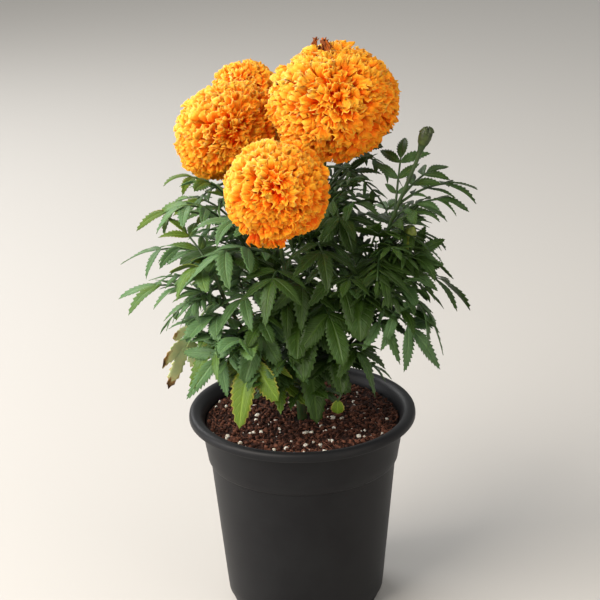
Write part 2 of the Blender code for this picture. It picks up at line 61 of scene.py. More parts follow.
SHARP_ANGLE = radians(40)


def linear(hex_colour):
    """An sRGB hex colour as linear red, green, blue and alpha."""
    parts = [int(hex_colour[i:i + 2], 16) / 255 for i in (1, 3, 5)]
    return (*[p / 12.92 if p <= 0.04045 else ((p + 0.055) / 1.055) ** 2.4 for p in parts], 1.0)


def new_finish(name):
    """An empty material."""
    finish = bpy.data.materials.new(name)
    finish.use_nodes = True
    finish.node_tree.nodes.clear()
    return finish


def add(finish, kind, inputs, stops=(), **settings):
    """Adds one node: its settings, its colour stops, and on each input a value, or a link from a socket or a node."""
    node = finish.node_tree.nodes.new("ShaderNode" + kind)
    for name, value in settings.items():
        setattr(node, name, value)
    for index, (place, hex_colour) in enumerate(stops):
        stop = node.color_ramp.elements[index] if index < 2 else node.color_ramp.elements.new(place)
        stop.position = place
        stop.color = linear(hex_colour)
    for name, value in inputs.items():
        if isinstance(value, bpy.types.Node):
            value = next(output for output in value.outputs if output.enabled)
        if isinstance(value, bpy.types.NodeSocket):
            finish.node_tree.links.new(value, node.inputs[name])
        else:
            node.inputs[name].default_value = value
    return node


def spun(outline, steps):
    """A bmesh of a (radius, height) outline spun once round the Z axis."""
    bm = bmesh.new()
    line = [bm.verts.new((radius, 0, height)) for radius, height in outline]
    for low, high in zip(line, line[1:]):
        bm.edges.new((low, high))
    bmesh.ops.spin(
        bm, geom=bm.verts[:] + bm.edges[:], axis=(0, 0, 1), cent=(0, 0, 0), angle=tau, steps=steps, use_merge=True,
    )
    bmesh.ops.remove_doubles(bm, verts=bm.verts[:], dist=1e-3)
    bmesh.ops.recalc_face_normals(bm, faces=bm.faces[:])
    return bm


def mesh_of(name, bm):
    """The mesh of a bmesh, which is freed."""
    mesh = bpy.data.meshes.new(name)
    bm.to_mesh(mesh)
    bm.free()
    return mesh


def gather(whole, part):
    """Adds a small mesh to a larger one, and frees it."""
    mesh = mesh_of("part", part)
    whole.from_mesh(mesh)
    bpy.data.meshes.remove(mesh)


def placed(name, contents):
    """An object in the scene that holds this mesh, lamp or lens."""
    made = bpy.data.objects.new(name, contents)
    bpy.context.scene.collection.objects.link(made)
    return made


def piece_of(name, bm, finishes, slot, *nodes):
    """The finished piece in metres, which rides on the root body and stands for these solids."""
    bmesh.ops.scale(bm, vec=(MM, MM, MM), verts=bm.verts[:])
    piece = placed(name, mesh_of(name, bm))
    piece.data.shade_smooth()
    for finish in finishes:
        piece.data.materials.append(finish)
    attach(piece, "root")
    if nodes:
        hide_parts(*nodes)
    return piece


# Moulded polypropylene: satin, a little uneven in gloss from handling, with a fine grain from the mould.
plastic = new_finish("charcoal moulded polypropylene")
place = add(plastic, "TexCoord", {}).outputs["Object"]
handling = add(plastic, "TexNoise", {"Vector": place, "Scale": 28.0, "Detail": 5.0, "Roughness": 0.6})
grain = add(plastic, "TexNoise", {"Vector": place, "Scale": 1400.0})
charcoal = add(plastic, "ValToRGB", {"Fac": handling}, [(0.35, "#121215"), (0.65, "#191a1c")])
gloss = add(plastic, "MapRange", {"Value": handling, "To Min": 0.38, "To Max": 0.54})
relief = add(plastic, "Bump", {"Height": grain, "Strength": 0.12, "Distance": 0.0003})
shader = add(plastic, "BsdfPrincipled", {
    "Base Color": charcoal, "Roughness": gloss, "IOR": 1.49, "Specular IOR Level": 0.2, "Normal": relief,
})
add(plastic, "OutputMaterial", {"Surface": shader})

pot_mesh = spun(POT_OUTSIDE + POT_LIP + POT_INSIDE, POT_SIDES)
pot = piece_of("nursery_pot", pot_mesh, [plastic], "pot_plastic", "pot")
drill_mesh = bmesh.new()
for index in range(DRAIN_HOLES):
    turn = Matrix.Rotation(tau * (index + 0.5) / DRAIN_HOLES, 4, "Z")
    bmesh.ops.create_cone(
        drill_mesh, cap_ends=True, segments=DRILL_SIDES, radius1=DRAIN_RADIUS * MM, radius2=DRAIN_RADIUS * MM,
        depth=DRILL_LENGTH * MM, matrix=turn @ Matrix.Translation((DRAIN_CIRCLE * MM, 0, 0)),
    )
drill = placed("drill", mesh_of("drill", drill_mesh))
drilled = pot.modifiers.new("drain holes", "BOOLEAN")
drilled.operation = "DIFFERENCE"
drilled.solver = "FAST"
drilled.object = drill
bpy.context.view_layer.update()
pot_drilled = bpy.data.meshes.new_from_object(pot.evaluated_get(bpy.context.evaluated_depsgraph_get()))
pot.modifiers.clear()
pot.data = pot_drilled
pot.data.set_sharp_from_angle(angle=SHARP_ANGLE)
bpy.data.objects.remove(drill)

# Soil. A damp coir and peat potting mix, pressed in up to 9 mm under the rim, with a hollow round the trunk.
# Its top is loose: fibres and crumbs of coir 1 to 4 mm across, and white grains of perlite, most of them washed
# towards the front edge.
SOIL_HEIGHT = 138.0
SOIL_WALL = [(0, 2.1), (51.7, 2.1), (51.7, 7.5), (54.4, 9), (64.1, 110.8), (65.8, 113), (67.8, 124), (68.4, 138)]
SOIL_RINGS = (65, 61, 56, 51, 46, 41, 36, 31, 26, 21, 16, 12, 8)
SOIL_RADIUS = 68.5
SOIL_SIDES = 64
# Each wave of the top has its scale, its layer and its height.
SOIL_WAVES = ((0.045, 0, 1.5), (0.16, 9, 0.8))
TRUNK_HOLE = 4.2
TRUNK_HOLE_BOTTOM = 112.0
CRUMBS = 5400
FIBRES = 300
PERLITE = 120
BATCH = 60
SCATTER_RADIUS = 67.0
WASHED_FORWARD = 0.95
draw = random.Random(11)
noise.seed_set(11)


def soil_level(x, y):
    """The height of the soil's uneven top, which levels out at the wall."""
    rise = sum(noise.noise(Vector((x, y, layer)) * scale) * height for scale, layer, height in SOIL_WAVES)
    return SOIL_HEIGHT + rise * min(1.0, (SOIL_RADIUS - hypot(x, y)) / 10)


soil_top = [(radius, SOIL_HEIGHT) for radius in (*SOIL_RINGS, TRUNK_HOLE)]
soil_mesh = spun(SOIL_WALL + soil_top + [(TRUNK_HOLE, TRUNK_HOLE_BOTTOM), (0, TRUNK_HOLE_BOTTOM)], SOIL_SIDES)
for vert in soil_mesh.verts:
    if vert.co.z > SOIL_HEIGHT - 1:
        vert.co.z = soil_level(vert.co.x, vert.co.y)


def scatter_place(front_bias):
    """A place on the soil's top, clear of the wall and the trunk."""
    while True:
        radius = SCATTER_RADIUS * sqrt(draw.random())
        turn = draw.uniform(0, tau)
        x, y = radius * sin(turn), -radius * cos(turn)
        share = front_bias * (y + SCATTER_RADIUS) / (2 * SCATTER_RADIUS)
        if radius > TRUNK_HOLE + 1.8 and draw.random() < 1 - share:
            return Vector((x, y, soil_level(x, y)))


def crumb(bm, size, squash, subdivisions, front_bias, shade):
    """One rough grain, thrown down at a random angle."""
    spot = scatter_place(front_bias)
    layer = bm.verts.layers.float["shade"]
    turn = Matrix.Rotation(draw.uniform(0, tau), 4, "Z") @ Matrix.Rotation(draw.uniform(-0.7, 0.7), 4, "X")
    shape = Matrix.Diagonal((size, size * draw.uniform(0.6, 1.0), size * squash, 1))
    sink = Matrix.Translation(spot + Vector((0, 0, size * squash * 0.35)))
    made = bmesh.ops.create_icosphere(bm, subdivisions=subdivisions, radius=0.5, matrix=sink @ turn @ shape)
    for vert in made["verts"]:
        vert.co += noise.noise_vector(vert.co * 1.7) * size * 0.24
        vert[layer] = shade


def fibre(bm, shade):
    """One short stiff strand, lying flat or leaning a little."""
    layer = bm.verts.layers.float["shade"]
    spot = scatter_place(0.0) + Vector((0, 0, 0.9))
    turn = Matrix.Rotation(draw.uniform(0, tau), 4, "Z") @ Matrix.Rotation(draw.uniform(1.2, 1.9), 4, "Y")
    thin = draw.uniform(0.3, 0.55)
    made = bmesh.ops.create_cone(
        bm, cap_ends=True, segments=5, radius1=thin, radius2=thin * 0.5, depth=draw.uniform(4, 9),
        matrix=Matrix.Translation(spot) @ turn,
    )
    for vert in made["verts"]:
        vert[layer] = shade


grit_mesh = bmesh.new()
grit_mesh.verts.layers.float.new("shade")
for batch in range(CRUMBS // BATCH):
    part = bmesh.new()
    part.verts.layers.float.new("shade")
    for index in range(BATCH):
        size = draw.choice((0.7, 0.9, 0.9, 1.2, 1.2, 1.6, 2.0, 2.6, 3.6))
        crumb(part, size, draw.uniform(0.4, 0.9), 1, 0.0, draw.random())
    for index in range(FIBRES * BATCH // CRUMBS):
        fibre(part, draw.uniform(0.6, 1.0))
    gather(grit_mesh, part)
grain_mesh = bmesh.new()
grain_mesh.verts.layers.float.new("shade")
for index in range(PERLITE):
    size = draw.choice((0.9, 1.2, 1.2, 1.6, 2.0, 2.5, 3.0, 3.6))
    crumb(grain_mesh, size, draw.uniform(0.6, 0.95), 2, WASHED_FORWARD, draw.random())

# Coir and peat: dark and matt, from nearly black where it is wet to red-brown on dry fibres.
coir = new_finish("damp coir potting mix")
place = add(coir, "TexCoord", {}).outputs["Object"]
crumbling = add(coir, "TexNoise", {"Vector": place, "Scale": 420.0, "Detail": 5.0, "Roughness": 0.7})
wetness = add(coir, "Attribute", {}, attribute_name="shade").outputs["Fac"]
mixed = add(coir, "Math", {0: wetness, 1: crumbling}, operation="MULTIPLY")
brown = add(
    coir, "ValToRGB", {"Fac": mixed},
    [(0.0, "#26140e"), (0.25, "#4a2b20"), (0.5, "#6e4535"), (0.8, "#96694f")],
)
relief = add(coir, "Bump", {"Height": crumbling, "Strength": 0.7, "Distance": 0.0008})
shader = add(coir, "BsdfPrincipled", {
    "Base Color": brown, "Roughness": 0.92, "IOR": 1.4, "Specular IOR Level": 0.35, "Normal": relief,
})
add(coir, "OutputMaterial", {"Surface": shader})

# Perlite: blown volcanic glass, chalk white and pitted.
perlite = new_finish("expanded perlite")
place = add(perlite, "TexCoord", {}).outputs["Object"]
pits = add(perlite, "TexNoise", {"Vector": place, "Scale": 900.0, "Detail": 3.0})
chalk = add(perlite, "ValToRGB", {"Fac": pits}, [(0.35, "#a99c8c"), (0.6, "#e9e3d8")])
relief = add(perlite, "Bump", {"Height": pits, "Strength": 0.6, "Distance": 0.0005})
shader = add(perlite, "BsdfPrincipled", {
    "Base Color": chalk, "Roughness": 0.85, "IOR": 1.5, "Subsurface Weight": 0.1, "Normal": relief,
})
add(perlite, "OutputMaterial", {"Surface": shader})
piece_of("soil_bed", soil_mesh, [coir], "soil", "soil")
piece_of("soil_crumbs", grit_mesh, [coir], "soil")
piece_of("perlite_grains", grain_mesh, [perlite], "soil")

# Stems. A green ribbed trunk out of the soil forks into side stems: four carry blooms, one a closed bud, and
# five are leafy shoots. Each stem swells into a smooth green cup under its bloom, and the buds are such cups
# that are still closed.
BLOOMS = {
    "bloom_large": dict(
        centre=(25, 0, 365), radius=43.0, grown=(6, 34), face=(8, 22, 0), florets=400, spread=(1.04, 0.92),
    ),
    "bloom_front": dict(
        centre=(-14, -62, 325), radius=34.5, grown=(0, 36), face=(2, 30, 0), florets=310, spread=(0.99, 0.97),
    ),
    "bloom_left": dict(
        centre=(-46, 30, 340.5), radius=37.0, grown=(17, 28), face=(20, 16, 22), florets=340, spread=(1.06, 0.88),
    ),
    "bloom_back": dict(
        centre=(-36, 98, 348), radius=29.0, grown=(-10, 45), face=(-10, 45, 0), florets=200, spread=(0.88, 0.9),
    ),
}
BLOOM_BACK = 0.46
CUP_LENGTH = 22.0
CUP_WIDTH = 0.22
TRUNK_RADIUS = 3.6
BRANCH_RADIUS = 1.5
NECK_RADIUS = 1.25
SMOOTH_STATION = 5
LEAF_STATION = 22
BUD_PROFILE = (0.3, 0.34, 0.42, 0.56, 0.86, 1.0, 1.0, 0.72)
TWIG_BUD_PROFILE = (0.28, 0.4, 0.7, 1.0, 1.0, 0.6)
CUP_PROFILE = (0.45, 0.85, 1.0, 0.95)
BUD_SCALES = 7
BUD_SCALE_RADII = [1.5, 1.4, 1.2, 0.9, 0.6, 0.3, 0.2, 0.2]
BUD_SIDES = 20
STEM_SIDES = 16
STEM_RIB = 0.1
TWIG_RADIUS = 1.2
STEMS = {
    "main_stem": dict(
        route=[(0, 0, 134), (-1, 1, 160), (0, 4, 195), (5, 10, 232), (12, 20, 270), (18, 32, 305)],
        bloom="bloom_large",
    ),
    "front_stem": dict(height=198, route=[(-5, -11, 214), (-9, -15, 245), (-12, -19, 275)], bloom="bloom_front"),
    "left_stem": dict(
        height=186, route=[(-14, 6, 202), (-27, 20, 235), (-40, 40, 266), (-51, 57, 298)], bloom="bloom_left",
    ),
    "back_stem": dict(
        height=176, route=[(-3, 16, 192), (-10, 40, 236), (-22, 78, 276), (-30, 106, 304)], bloom="bloom_back",
    ),
    "bud_stem": dict(
        height=180, route=[(16, -4, 196), (33, -11, 226), (52, -18, 264), (68, -20, 304), (77, -20, 326)],
        bud=((79, -20, 331), (86, -20, 352), 4.4),
        twig=[(0.66, (64, -20, 262), (71, -22, 265)), ((72.5, -23, 268), (75, -24, 287), 4.4)],
    ),
    "low_left_stem": dict(height=165, route=[(-14, -8, 174), (-32, -20, 203), (-48, -28, 234), (-58, -31, 262)]),
    "low_front_stem": dict(height=156, route=[(-9, -15, 165), (-19, -28, 186), (-28, -40, 207)]),
    "low_right_stem": dict(height=170, route=[(13, -8, 178), (30, -18, 198), (47, -26, 224), (57, -30, 246)]),
    "back_left_stem": dict(height=162, route=[(-14, 12, 172), (-30, 30, 196), (-44, 48, 226)]),
    "back_right_stem": dict(height=168, route=[(14, 12, 178), (32, 30, 204), (48, 46, 236)]),
}


def smooth_route(points, station):
    """Points about a station apart on one smooth curve through the given ones."""
    points = [Vector(p) for p in points]
    ends = [2 * points[0] - points[1]] + points + [2 * points[-1] - points[-2]]
    made = [points[0]]
    for before, start, end, after in zip(ends, ends[1:], ends[2:], ends[3:]):
        steps = max(1, round((end - start).length / station))
        for step in range(1, steps + 1):
            t = step / steps
            made.append(
                0.5 * (
                    2 * start + (end - before) * t + (2 * before - 5 * start + 4 * end - after) * t * t
                    + (3 * start - before - 3 * end + after) * t ** 3
                )
            )
    return made


def along(route, share):
    """The point at this share of a route's length."""
    lengths = [(b - a).length for a, b in zip(route, route[1:])]
    left = share * sum(lengths)
    for start, end, length in zip(route, route[1:], lengths):
        if left <= length:
            return start.lerp(end, left / length)
        left -= length
    return route[-1]


def bloom_axes(turned, lifted, rolled=0):
    """The sideways, upward and forward unit vectors of a bloom that is turned, lifted and rolled by these degrees."""
    turn, lift, roll = radians(turned), radians(lifted), radians(rolled)
    forward = Vector((sin(turn) * cos(lift), -cos(turn) * cos(lift), sin(lift)))
    level = Vector((cos(turn), sin(turn), 0))
    sideways = level * cos(roll) + forward.cross(level) * sin(roll)
    return sideways, forward.cross(sideways), forward


def cup_route(bloom):
    """Where the green cup under a bloom starts, and where it meets the bloom."""
    forward = bloom_axes(*bloom["grown"])[2]
    top = Vector(bloom["centre"]) - forward * (bloom["radius"] * BLOOM_BACK + 0.3)
    return [top - forward * CUP_LENGTH, top]


def trunk_radius(height):
    """The trunk thins towards the large bloom's neck."""
    return TRUNK_RADIUS - (TRUNK_RADIUS - NECK_RADIUS) * (height - SOIL_HEIGHT) / 200


def stem_points(name, trunk):
    """The stem's turning points, from the trunk's side, or from the soil for the trunk itself, to its cup."""
    stem = STEMS[name]
    points = [Vector(p) for p in stem["route"]]
    if "height" in stem:
        above = next(i for i, p in enumerate(trunk) if p.z > stem["height"])
        share = (stem["height"] - trunk[above - 1].z) / (trunk[above].z - trunk[above - 1].z)
        centre = trunk[above - 1].lerp(trunk[above], share)
        outward = (points[0] - centre).to_2d().normalized().to_3d()
        root = centre + outward * (trunk_radius(stem["height"]) + 0.3)
        points = [root, root + outward * 4] + points
    if "bloom" in stem:
        points.append(cup_route(BLOOMS[stem["bloom"]])[0])
    return points


def rings_along(route):
    """A frame at each point of a route, twisted as little as possible from one to the next."""
    ahead = [(b - a).normalized() for a, b in zip(route, route[1:])]
    ahead = [ahead[0]] + [(a + b).normalized() for a, b in zip(ahead, ahead[1:])] + [ahead[-1]]
    side = ahead[0].orthogonal().normalized()
    frames = []
    for point, direction in zip(route, ahead):
        side = (side - direction * side.dot(direction)).normalized()
        turn = Matrix((side, direction.cross(side), direction)).transposed().to_4x4()
        frames.append(Matrix.Translation(point) @ turn)
    return frames


def grow(bm, route, radii, sides, rib, finish, shade=None):
    """Extrudes a ribbed ring along a route, and closes both ends."""
    shapes = [ring @ Matrix.Diagonal((radius, radius, 1, 1)) for ring, radius in zip(rings_along(route), radii)]
    ring = bmesh.ops.create_circle(bm, segments=sides, radius=1.0)["verts"]
    for vert in ring[::2]:
        vert.co *= 1 - rib
    bmesh.ops.transform(bm, matrix=shapes[0], verts=ring)
    edges = list({edge for vert in ring for edge in vert.link_edges})
    grown = set(ring)
    faces = [bm.faces.new(ring)]
    for before, after in zip(shapes, shapes[1:]):
        made = bmesh.ops.extrude_edge_only(bm, edges=edges)["geom"]
        ring = [item for item in made if isinstance(item, bmesh.types.BMVert)]
        bmesh.ops.transform(bm, matrix=after @ before.inverted(), verts=ring)
        new = set(ring)
        grown |= new
        edges = [item for item in made if isinstance(item, bmesh.types.BMEdge) and set(item.verts) <= new]
        faces += [item for item in made if isinstance(item, bmesh.types.BMFace)]
    faces += bmesh.ops.holes_fill(bm, edges=edges, sides=0)["faces"]
    bmesh.ops.recalc_face_normals(bm, faces=faces)
    for face in faces:
        face.material_index = finish
    if shade is not None:
        layer = bm.verts.layers.float["shade"]
        for vert in grown:
            vert[layer] = shade


def swollen(start, end, wide, profile, steps, first=0.0):
    """Points and radii of a cup or a bud between two points, rounded between the shares of its width."""
    radii = [wide * share for share in profile]
    points, sizes = [], []
    for index in range(steps + 1):
        share = index / steps
        at = share * (len(radii) - 1)
        low = min(int(at), len(radii) - 2)
        ease = at - low
        sizes.append(radii[low] + (radii[low + 1] - radii[low]) * ease * ease * (3 - 2 * ease))
        points.append(Vector(start).lerp(Vector(end), first + (1 - first) * share))
    return points, sizes


# Stem skin: waxy and green, darker and lighter in small patches, over the ribs and grooves of its shape.
rind = new_finish("green stem skin")
place = add(rind, "TexCoord", {}).outputs["Object"]
mottle = add(rind, "TexNoise", {"Vector": place, "Scale": 90.0, "Detail": 4.0})
fuzz = add(rind, "TexNoise", {"Vector": place, "Scale": 1600.0})
stem_green = add(rind, "ValToRGB", {"Fac": mottle}, [(0.3, "#1c2f12"), (0.7, "#334d20")])
relief = add(rind, "Bump", {"Height": fuzz, "Strength": 0.15, "Distance": 0.0003})
shader = add(rind, "BsdfPrincipled", {
    "Base Color": stem_green, "Roughness": 0.48, "IOR": 1.45, "Subsurface Weight": 0.05, "Normal": relief,
})
add(rind, "OutputMaterial", {"Surface": shader})

def mottled_finish(name, scale, detail, dark, light, roughness, ior):
    """A plain skin of one colour that is darker and lighter in small patches."""
    finish = new_finish(name)
    place = add(finish, "TexCoord", {}).outputs["Object"]
    patches = add(finish, "TexNoise", {"Vector": place, "Scale": scale, "Detail": detail})
    tinted = add(finish, "ValToRGB", {"Fac": patches}, [dark, light])
    shader = add(finish, "BsdfPrincipled", {"Base Color": tinted, "Roughness": roughness, "IOR": ior})
    add(finish, "OutputMaterial", {"Surface": shader})
    return finish


# Bud skins: darker, tougher olive scales wrap a closed bloom, and a young bud is softer and yellower.
scale_skin = mottled_finish("olive bud scales", 260.0, 3.0, (0.35, "#1b260f"), (0.65, "#3f4c1c"), 0.5, 1.45)
young_skin = mottled_finish("yellow-green young bud", 260.0, 3.0, (0.35, "#515f16"), (0.65, "#7c8a34"), 0.5, 1.45)

trunk_route = smooth_route(stem_points("main_stem", None), LEAF_STATION)
leaf_routes = {}
for name, stem in STEMS.items():
    points = stem_points(name, trunk_route)
    fine = smooth_route(points, SMOOTH_STATION)
    leaf_routes[name] = smooth_route(points, LEAF_STATION)
    stem_mesh = bmesh.new()
    if name == "main_stem":
        leaf_routes[name].insert(0, Vector((0, 0, TRUNK_HOLE_BOTTOM)))
        fine.insert(0, Vector((0, 0, TRUNK_HOLE_BOTTOM + 2)))
        radii = [min(TRUNK_RADIUS, trunk_radius(p.z)) for p in fine]
    else:
        radii = [BRANCH_RADIUS + (NECK_RADIUS - BRANCH_RADIUS) * i / len(fine) for i in range(len(fine))]
    if "bloom" in stem:
        bloom = BLOOMS[stem["bloom"]]
        cup, cup_radii = swollen(*cup_route(bloom), CUP_WIDTH * bloom["radius"], CUP_PROFILE, 12, 0.25)
        fine += cup
        radii += cup_radii
    elif "bud" in stem:
        start, end, wide = stem["bud"]
        head, head_radii = swollen(start, end, wide, BUD_PROFILE, 28)
        for index in range(BUD_SCALES):
            turn = tau * index / BUD_SCALES
            lean = Vector((cos(turn), sin(turn), 0)) * wide
            tooth = [head[-5] + lean * 0.9, head[-2] + lean * 0.62, Vector(end) + lean * 0.34 + Vector((0, 0, 0.8))]
            grow(stem_mesh, smooth_route(tooth, 1.2), BUD_SCALE_RADII, 6, 0.0, 1)
        grow(stem_mesh, fine + head, radii + head_radii, BUD_SIDES, 0.06, 0)
        for face in stem_mesh.faces:
            if face.calc_center_median().z > head[14].z:
                face.material_index = 1
        (share, *bend), (start, end, wide) = stem["twig"]
        twig = smooth_route([along(leaf_routes[name], share), *bend], 3)
        head, head_radii = swollen(start, end, wide, TWIG_BUD_PROFILE, 14)
        grow(stem_mesh, twig + head, [TWIG_RADIUS] * len(twig) + head_radii, STEM_SIDES, 0.08, 2)
    else:
        fine.append(fine[-1] + (fine[-1] - fine[-2]).normalized() * 3)
        radii.append(0.7)
    if "bud" not in stem:
        grow(stem_mesh, fine, radii, STEM_SIDES, STEM_RIB, 0)
    piece_of(name + "_bare", stem_mesh, [rind, scale_skin, young_skin], "leaf", name)

# Leaves. Each is one feathered leaf: saw-edged leaflets in pairs on a thin arched rib, and one more at the tip.
# The leaflets are thin and soft, folded a little along the midrib, and quilted between their side veins. Low old
# leaves are yellower, and young ones at the shoot tips are small and narrow.
LEAF_SHEET = 0.3
LEAFLET_SPACING = 0.52
LEAF_DROOP = 0.3
RIB_HALF_WIDTH = 0.8
LEAFLET_ROOT = 1.3
LEAFLET_WIDE = (0.23, 0.165, 0.125)
# A leaf grows at a share of its stem's length, and has its tip's place, its leaflets' length and pairs, and its arch.
LEAVES = {
    "main_stem": [
        (0.16, (26, -26, 156), 18, 1, 0.3), (0.33, (10, -54, 158), 36, 1, 0.3), (0.42, (-6, -62, 204), 32, 2, 0.25),
        (0.5, (-16, -56, 228), 30, 2, 0.3), (0.47, (28, -64, 204), 29, 1, 0.28), (0.56, (36, -58, 232), 30, 2, 0.28),
        (0.62, (19, -64, 258), 30, 2, 0.22), (0.68, (54, -22, 296), 26, 2, 0.2), (0.72, (56, 36, 320), 24, 3, 0.12),
        (0.78, (64, 26, 340), 22, 2, 0.1), (0.58, (68, 60, 262), 28, 3, 0.25), (0.66, (38, -40, 286), 24, 2, 0.22),
    ],
    "front_stem": [
        (0.6, (-78, -56, 256), 35, 2, 0.25), (0.5, (-24, -80, 248), 30, 2, 0.28),
        (0.36, (-52, -64, 226), 28, 2, 0.25), (0.72, (-70, -30, 288), 28, 2, 0.2),
        (0.24, (-34, -68, 200), 26, 1, 0.25),
    ],
    "left_stem": [
        (0.55, (-113, 10, 280), 27, 3, 0.2), (0.75, (-94, 36, 303), 23, 2, 0.18), (0.5, (-97, -16, 274), 33, 2, 0.3),
        (0.66, (-80, 4, 308), 25, 2, 0.22), (0.38, (-123, 4, 256), 27, 3, 0.16), (0.6, (-98, 84, 268), 27, 3, 0.22),
    ],
    "back_stem": [
        (0.45, (-62, 98, 244), 27, 3, 0.22), (0.5, (38, 106, 260), 27, 3, 0.22), (0.66, (-20, 132, 246), 26, 2, 0.25),
        (0.74, (-80, 112, 292), 25, 2, 0.2),
    ],
    "bud_stem": [
        (0.45, (121, -10, 225), 30, 3, 0.2), (0.52, (104, -26, 250), 26, 2, 0.25), (0.6, (102, -2, 264), 24, 2, 0.25),
        (0.84, (122, 6, 302), 25, 2, 0.14), (0.87, (102, 2, 321), 20, 2, 0.12), (0.72, (94, -38, 296), 23, 2, 0.2),
        (0.56, (62, -54, 240), 28, 2, 0.25), (0.8, (74, 14, 336), 21, 2, 0.1), (0.66, (46, -42, 292), 25, 2, 0.2),
        (0.78, (116, -16, 284), 23, 2, 0.16), (0.55, (96, 48, 276), 27, 3, 0.22),
    ],
    "low_left_stem": [
        (0.92, (-88, -46, 254), 30, 1, 0.38), (0.75, (-124, -12, 236), 29, 3, 0.16),
        (0.62, (-76, -52, 224), 26, 1, 0.25), (0.5, (-77, -46, 180), 30, 2, 0.32), (0.97, (-64, -8, 306), 22, 2, 0.1),
        (0.4, (-60, -46, 196), 26, 2, 0.25),
    ],
    "low_front_stem": [
        (0.88, (-44, -64, 160), 36, 1, 0.34), (0.78, (-4, -62, 180), 30, 1, 0.3),
        (0.95, (-66, -56, 200), 28, 1, 0.22), (0.97, (-40, -78, 218), 25, 1, 0.2),
    ],
    "low_right_stem": [
        (0.35, (51, -52, 176), 30, 2, 0.38), (0.28, (27, -54, 184), 26, 1, 0.32), (0.92, (101, -26, 196), 33, 2, 0.3),
        (0.72, (66, -50, 198), 25, 2, 0.32), (0.97, (88, -20, 240), 21, 1, 0.22), (0.6, (94, -38, 216), 27, 2, 0.28),
    ],
    "back_left_stem": [
        (0.6, (-98, 24, 206), 29, 3, 0.24), (0.75, (-70, 100, 204), 29, 3, 0.24), (0.97, (-104, 62, 240), 27, 2, 0.2),
    ],
    "back_right_stem": [
        (0.55, (94, 20, 208), 29, 3, 0.24), (0.72, (54, 104, 210), 29, 3, 0.24), (0.92, (106, 58, 236), 27, 2, 0.22),
        (0.97, (82, 88, 270), 25, 2, 0.2),
    ],
}
# The broadest leaves turn their flat side to the light: rolled by these degrees, and then their shade, how light each
# is painted, with the light and shade that fall on it painted in.
BROAD_LEAVES = {
    "main_stem": [
        (0.45, (-3, -62, 208), 40, 1, 0.25, 0, 0.24), (0.52, (1, -62, 192), 38, 1, 0.25, 0, 0.24),
        (0.7, (36, -14, 309), 22, 2, 0.1, 40, 0.14), (0.78, (50, 30, 322), 20, 3, 0.05, 30, 0.14),
    ],
    "bud_stem": [
        (0.4, (40, -56, 220), 44, 1, 0.2, 0, 0.24), (0.42, (98, -20, 276), 22, 2, 0.1, 60, 0.24),
        (0.36, (98, -20, 259), 24, 2, 0.15, 50, 0.26),
    ],
    "left_stem": [(0.4, (-63, -46, 263), 42, 1, 0.2, 0, 0.28)],
    "low_left_stem": [(0.55, (-79, -46, 174), 27, 2, 0.3, -45, 0.44)],
    "low_right_stem": [(0.86, (97, -30, 185), 31, 2, 0.25, 50, 0.38)],
}
# Leaves are thrown in among them: on a stretch of the stem, with a range for the leaflets' length, their pairs, the
# cells of a leaflet, and a range for the leaf's length.
FILLING_LEAVES = 6
FILLING = (0.15, 0.96, (18, 28), (1, 2, 2, 3), (12, 4), (38, 70))
FINE_LEAVES = {"main_stem": 36, "bud_stem": 26, "back_stem": 8, "left_stem": 8, "low_left_stem": 8}
FINE_FILLING = (0.5, 1.0, (12, 18), (3, 4, 5), (6, 2), (34, 62))
TOOTH_DEPTH = (1.11, 0.8)
SIDE_VEINS = 9
LEAF_TURNS = [(0, 0)] + [
    (sideways * step, up * step)
    for step in (7, 14, 21, 28)
    for sideways, up in ((1, 0), (-1, 0), (0, 1), (0, -1), (1, 1), (-1, 1), (1, -1), (-1, -1))
]
LARGE_CELLS = (24, 4)
LEAFLET_CELLS = (18, 4)
SEED_LEAF_STALK = [(3, -3, 158), (12, -18, 177), (23, -34, 181), (27, -42, 176), (24, -45, 170)]
SEED_LEAF_TOP = Vector((24, -45, 171))
SEED_LEAF_LENGTH = 10.5
SEED_LEAF_WIDE = 4.6
LOWEST_TIP = 166
HIGHEST_TIP = 338
FRONT_TIP = -74
TRIES = 1200
draw = random.Random(5)


def sheet_mesh(plan):
    """An empty mesh for thin blades, with the map of each blade's plan and its shade."""
    sheet = bmesh.new()
    sheet.loops.layers.uv.new(plan)
    sheet.verts.layers.float.new("shade")
    return sheet


def thicken(piece, thickness):
    """Gives a piece's thin blades their thickness, half to each side."""
    sheet = piece.modifiers.new("thickness", "SOLIDIFY")
    sheet.thickness = thickness * MM
    sheet.offset = 0.0


def blade_grid(sheet, cells, finish=0):
    """Adds the flat grid of one blade, a unit square, which carries its own plan."""
    grid = bmesh.ops.create_grid(sheet, x_segments=cells[0], y_segments=cells[1], size=0.5)["verts"]
    plan = sheet.loops.layers.uv.active
    for face in {face for vert in grid for face in vert.link_faces}:
        face.material_index = finish
        for corner in face.loops:
            corner[plan].uv = (corner.vert.co.x + 0.5, corner.vert.co.y + 0.5)
    return grid


def turned_tip(base, tip, sideways, up):
    """The leaf's tip, swung about its base by these degrees."""
    reach = tip - base
    level = Vector((reach.x, reach.y, 0)).normalized()
    lifted = Matrix.Rotation(radians(up), 3, level.cross(Vector((0, 0, 1)))) @ reach
    return base + Matrix.Rotation(radians(sideways), 3, "Z") @ lifted


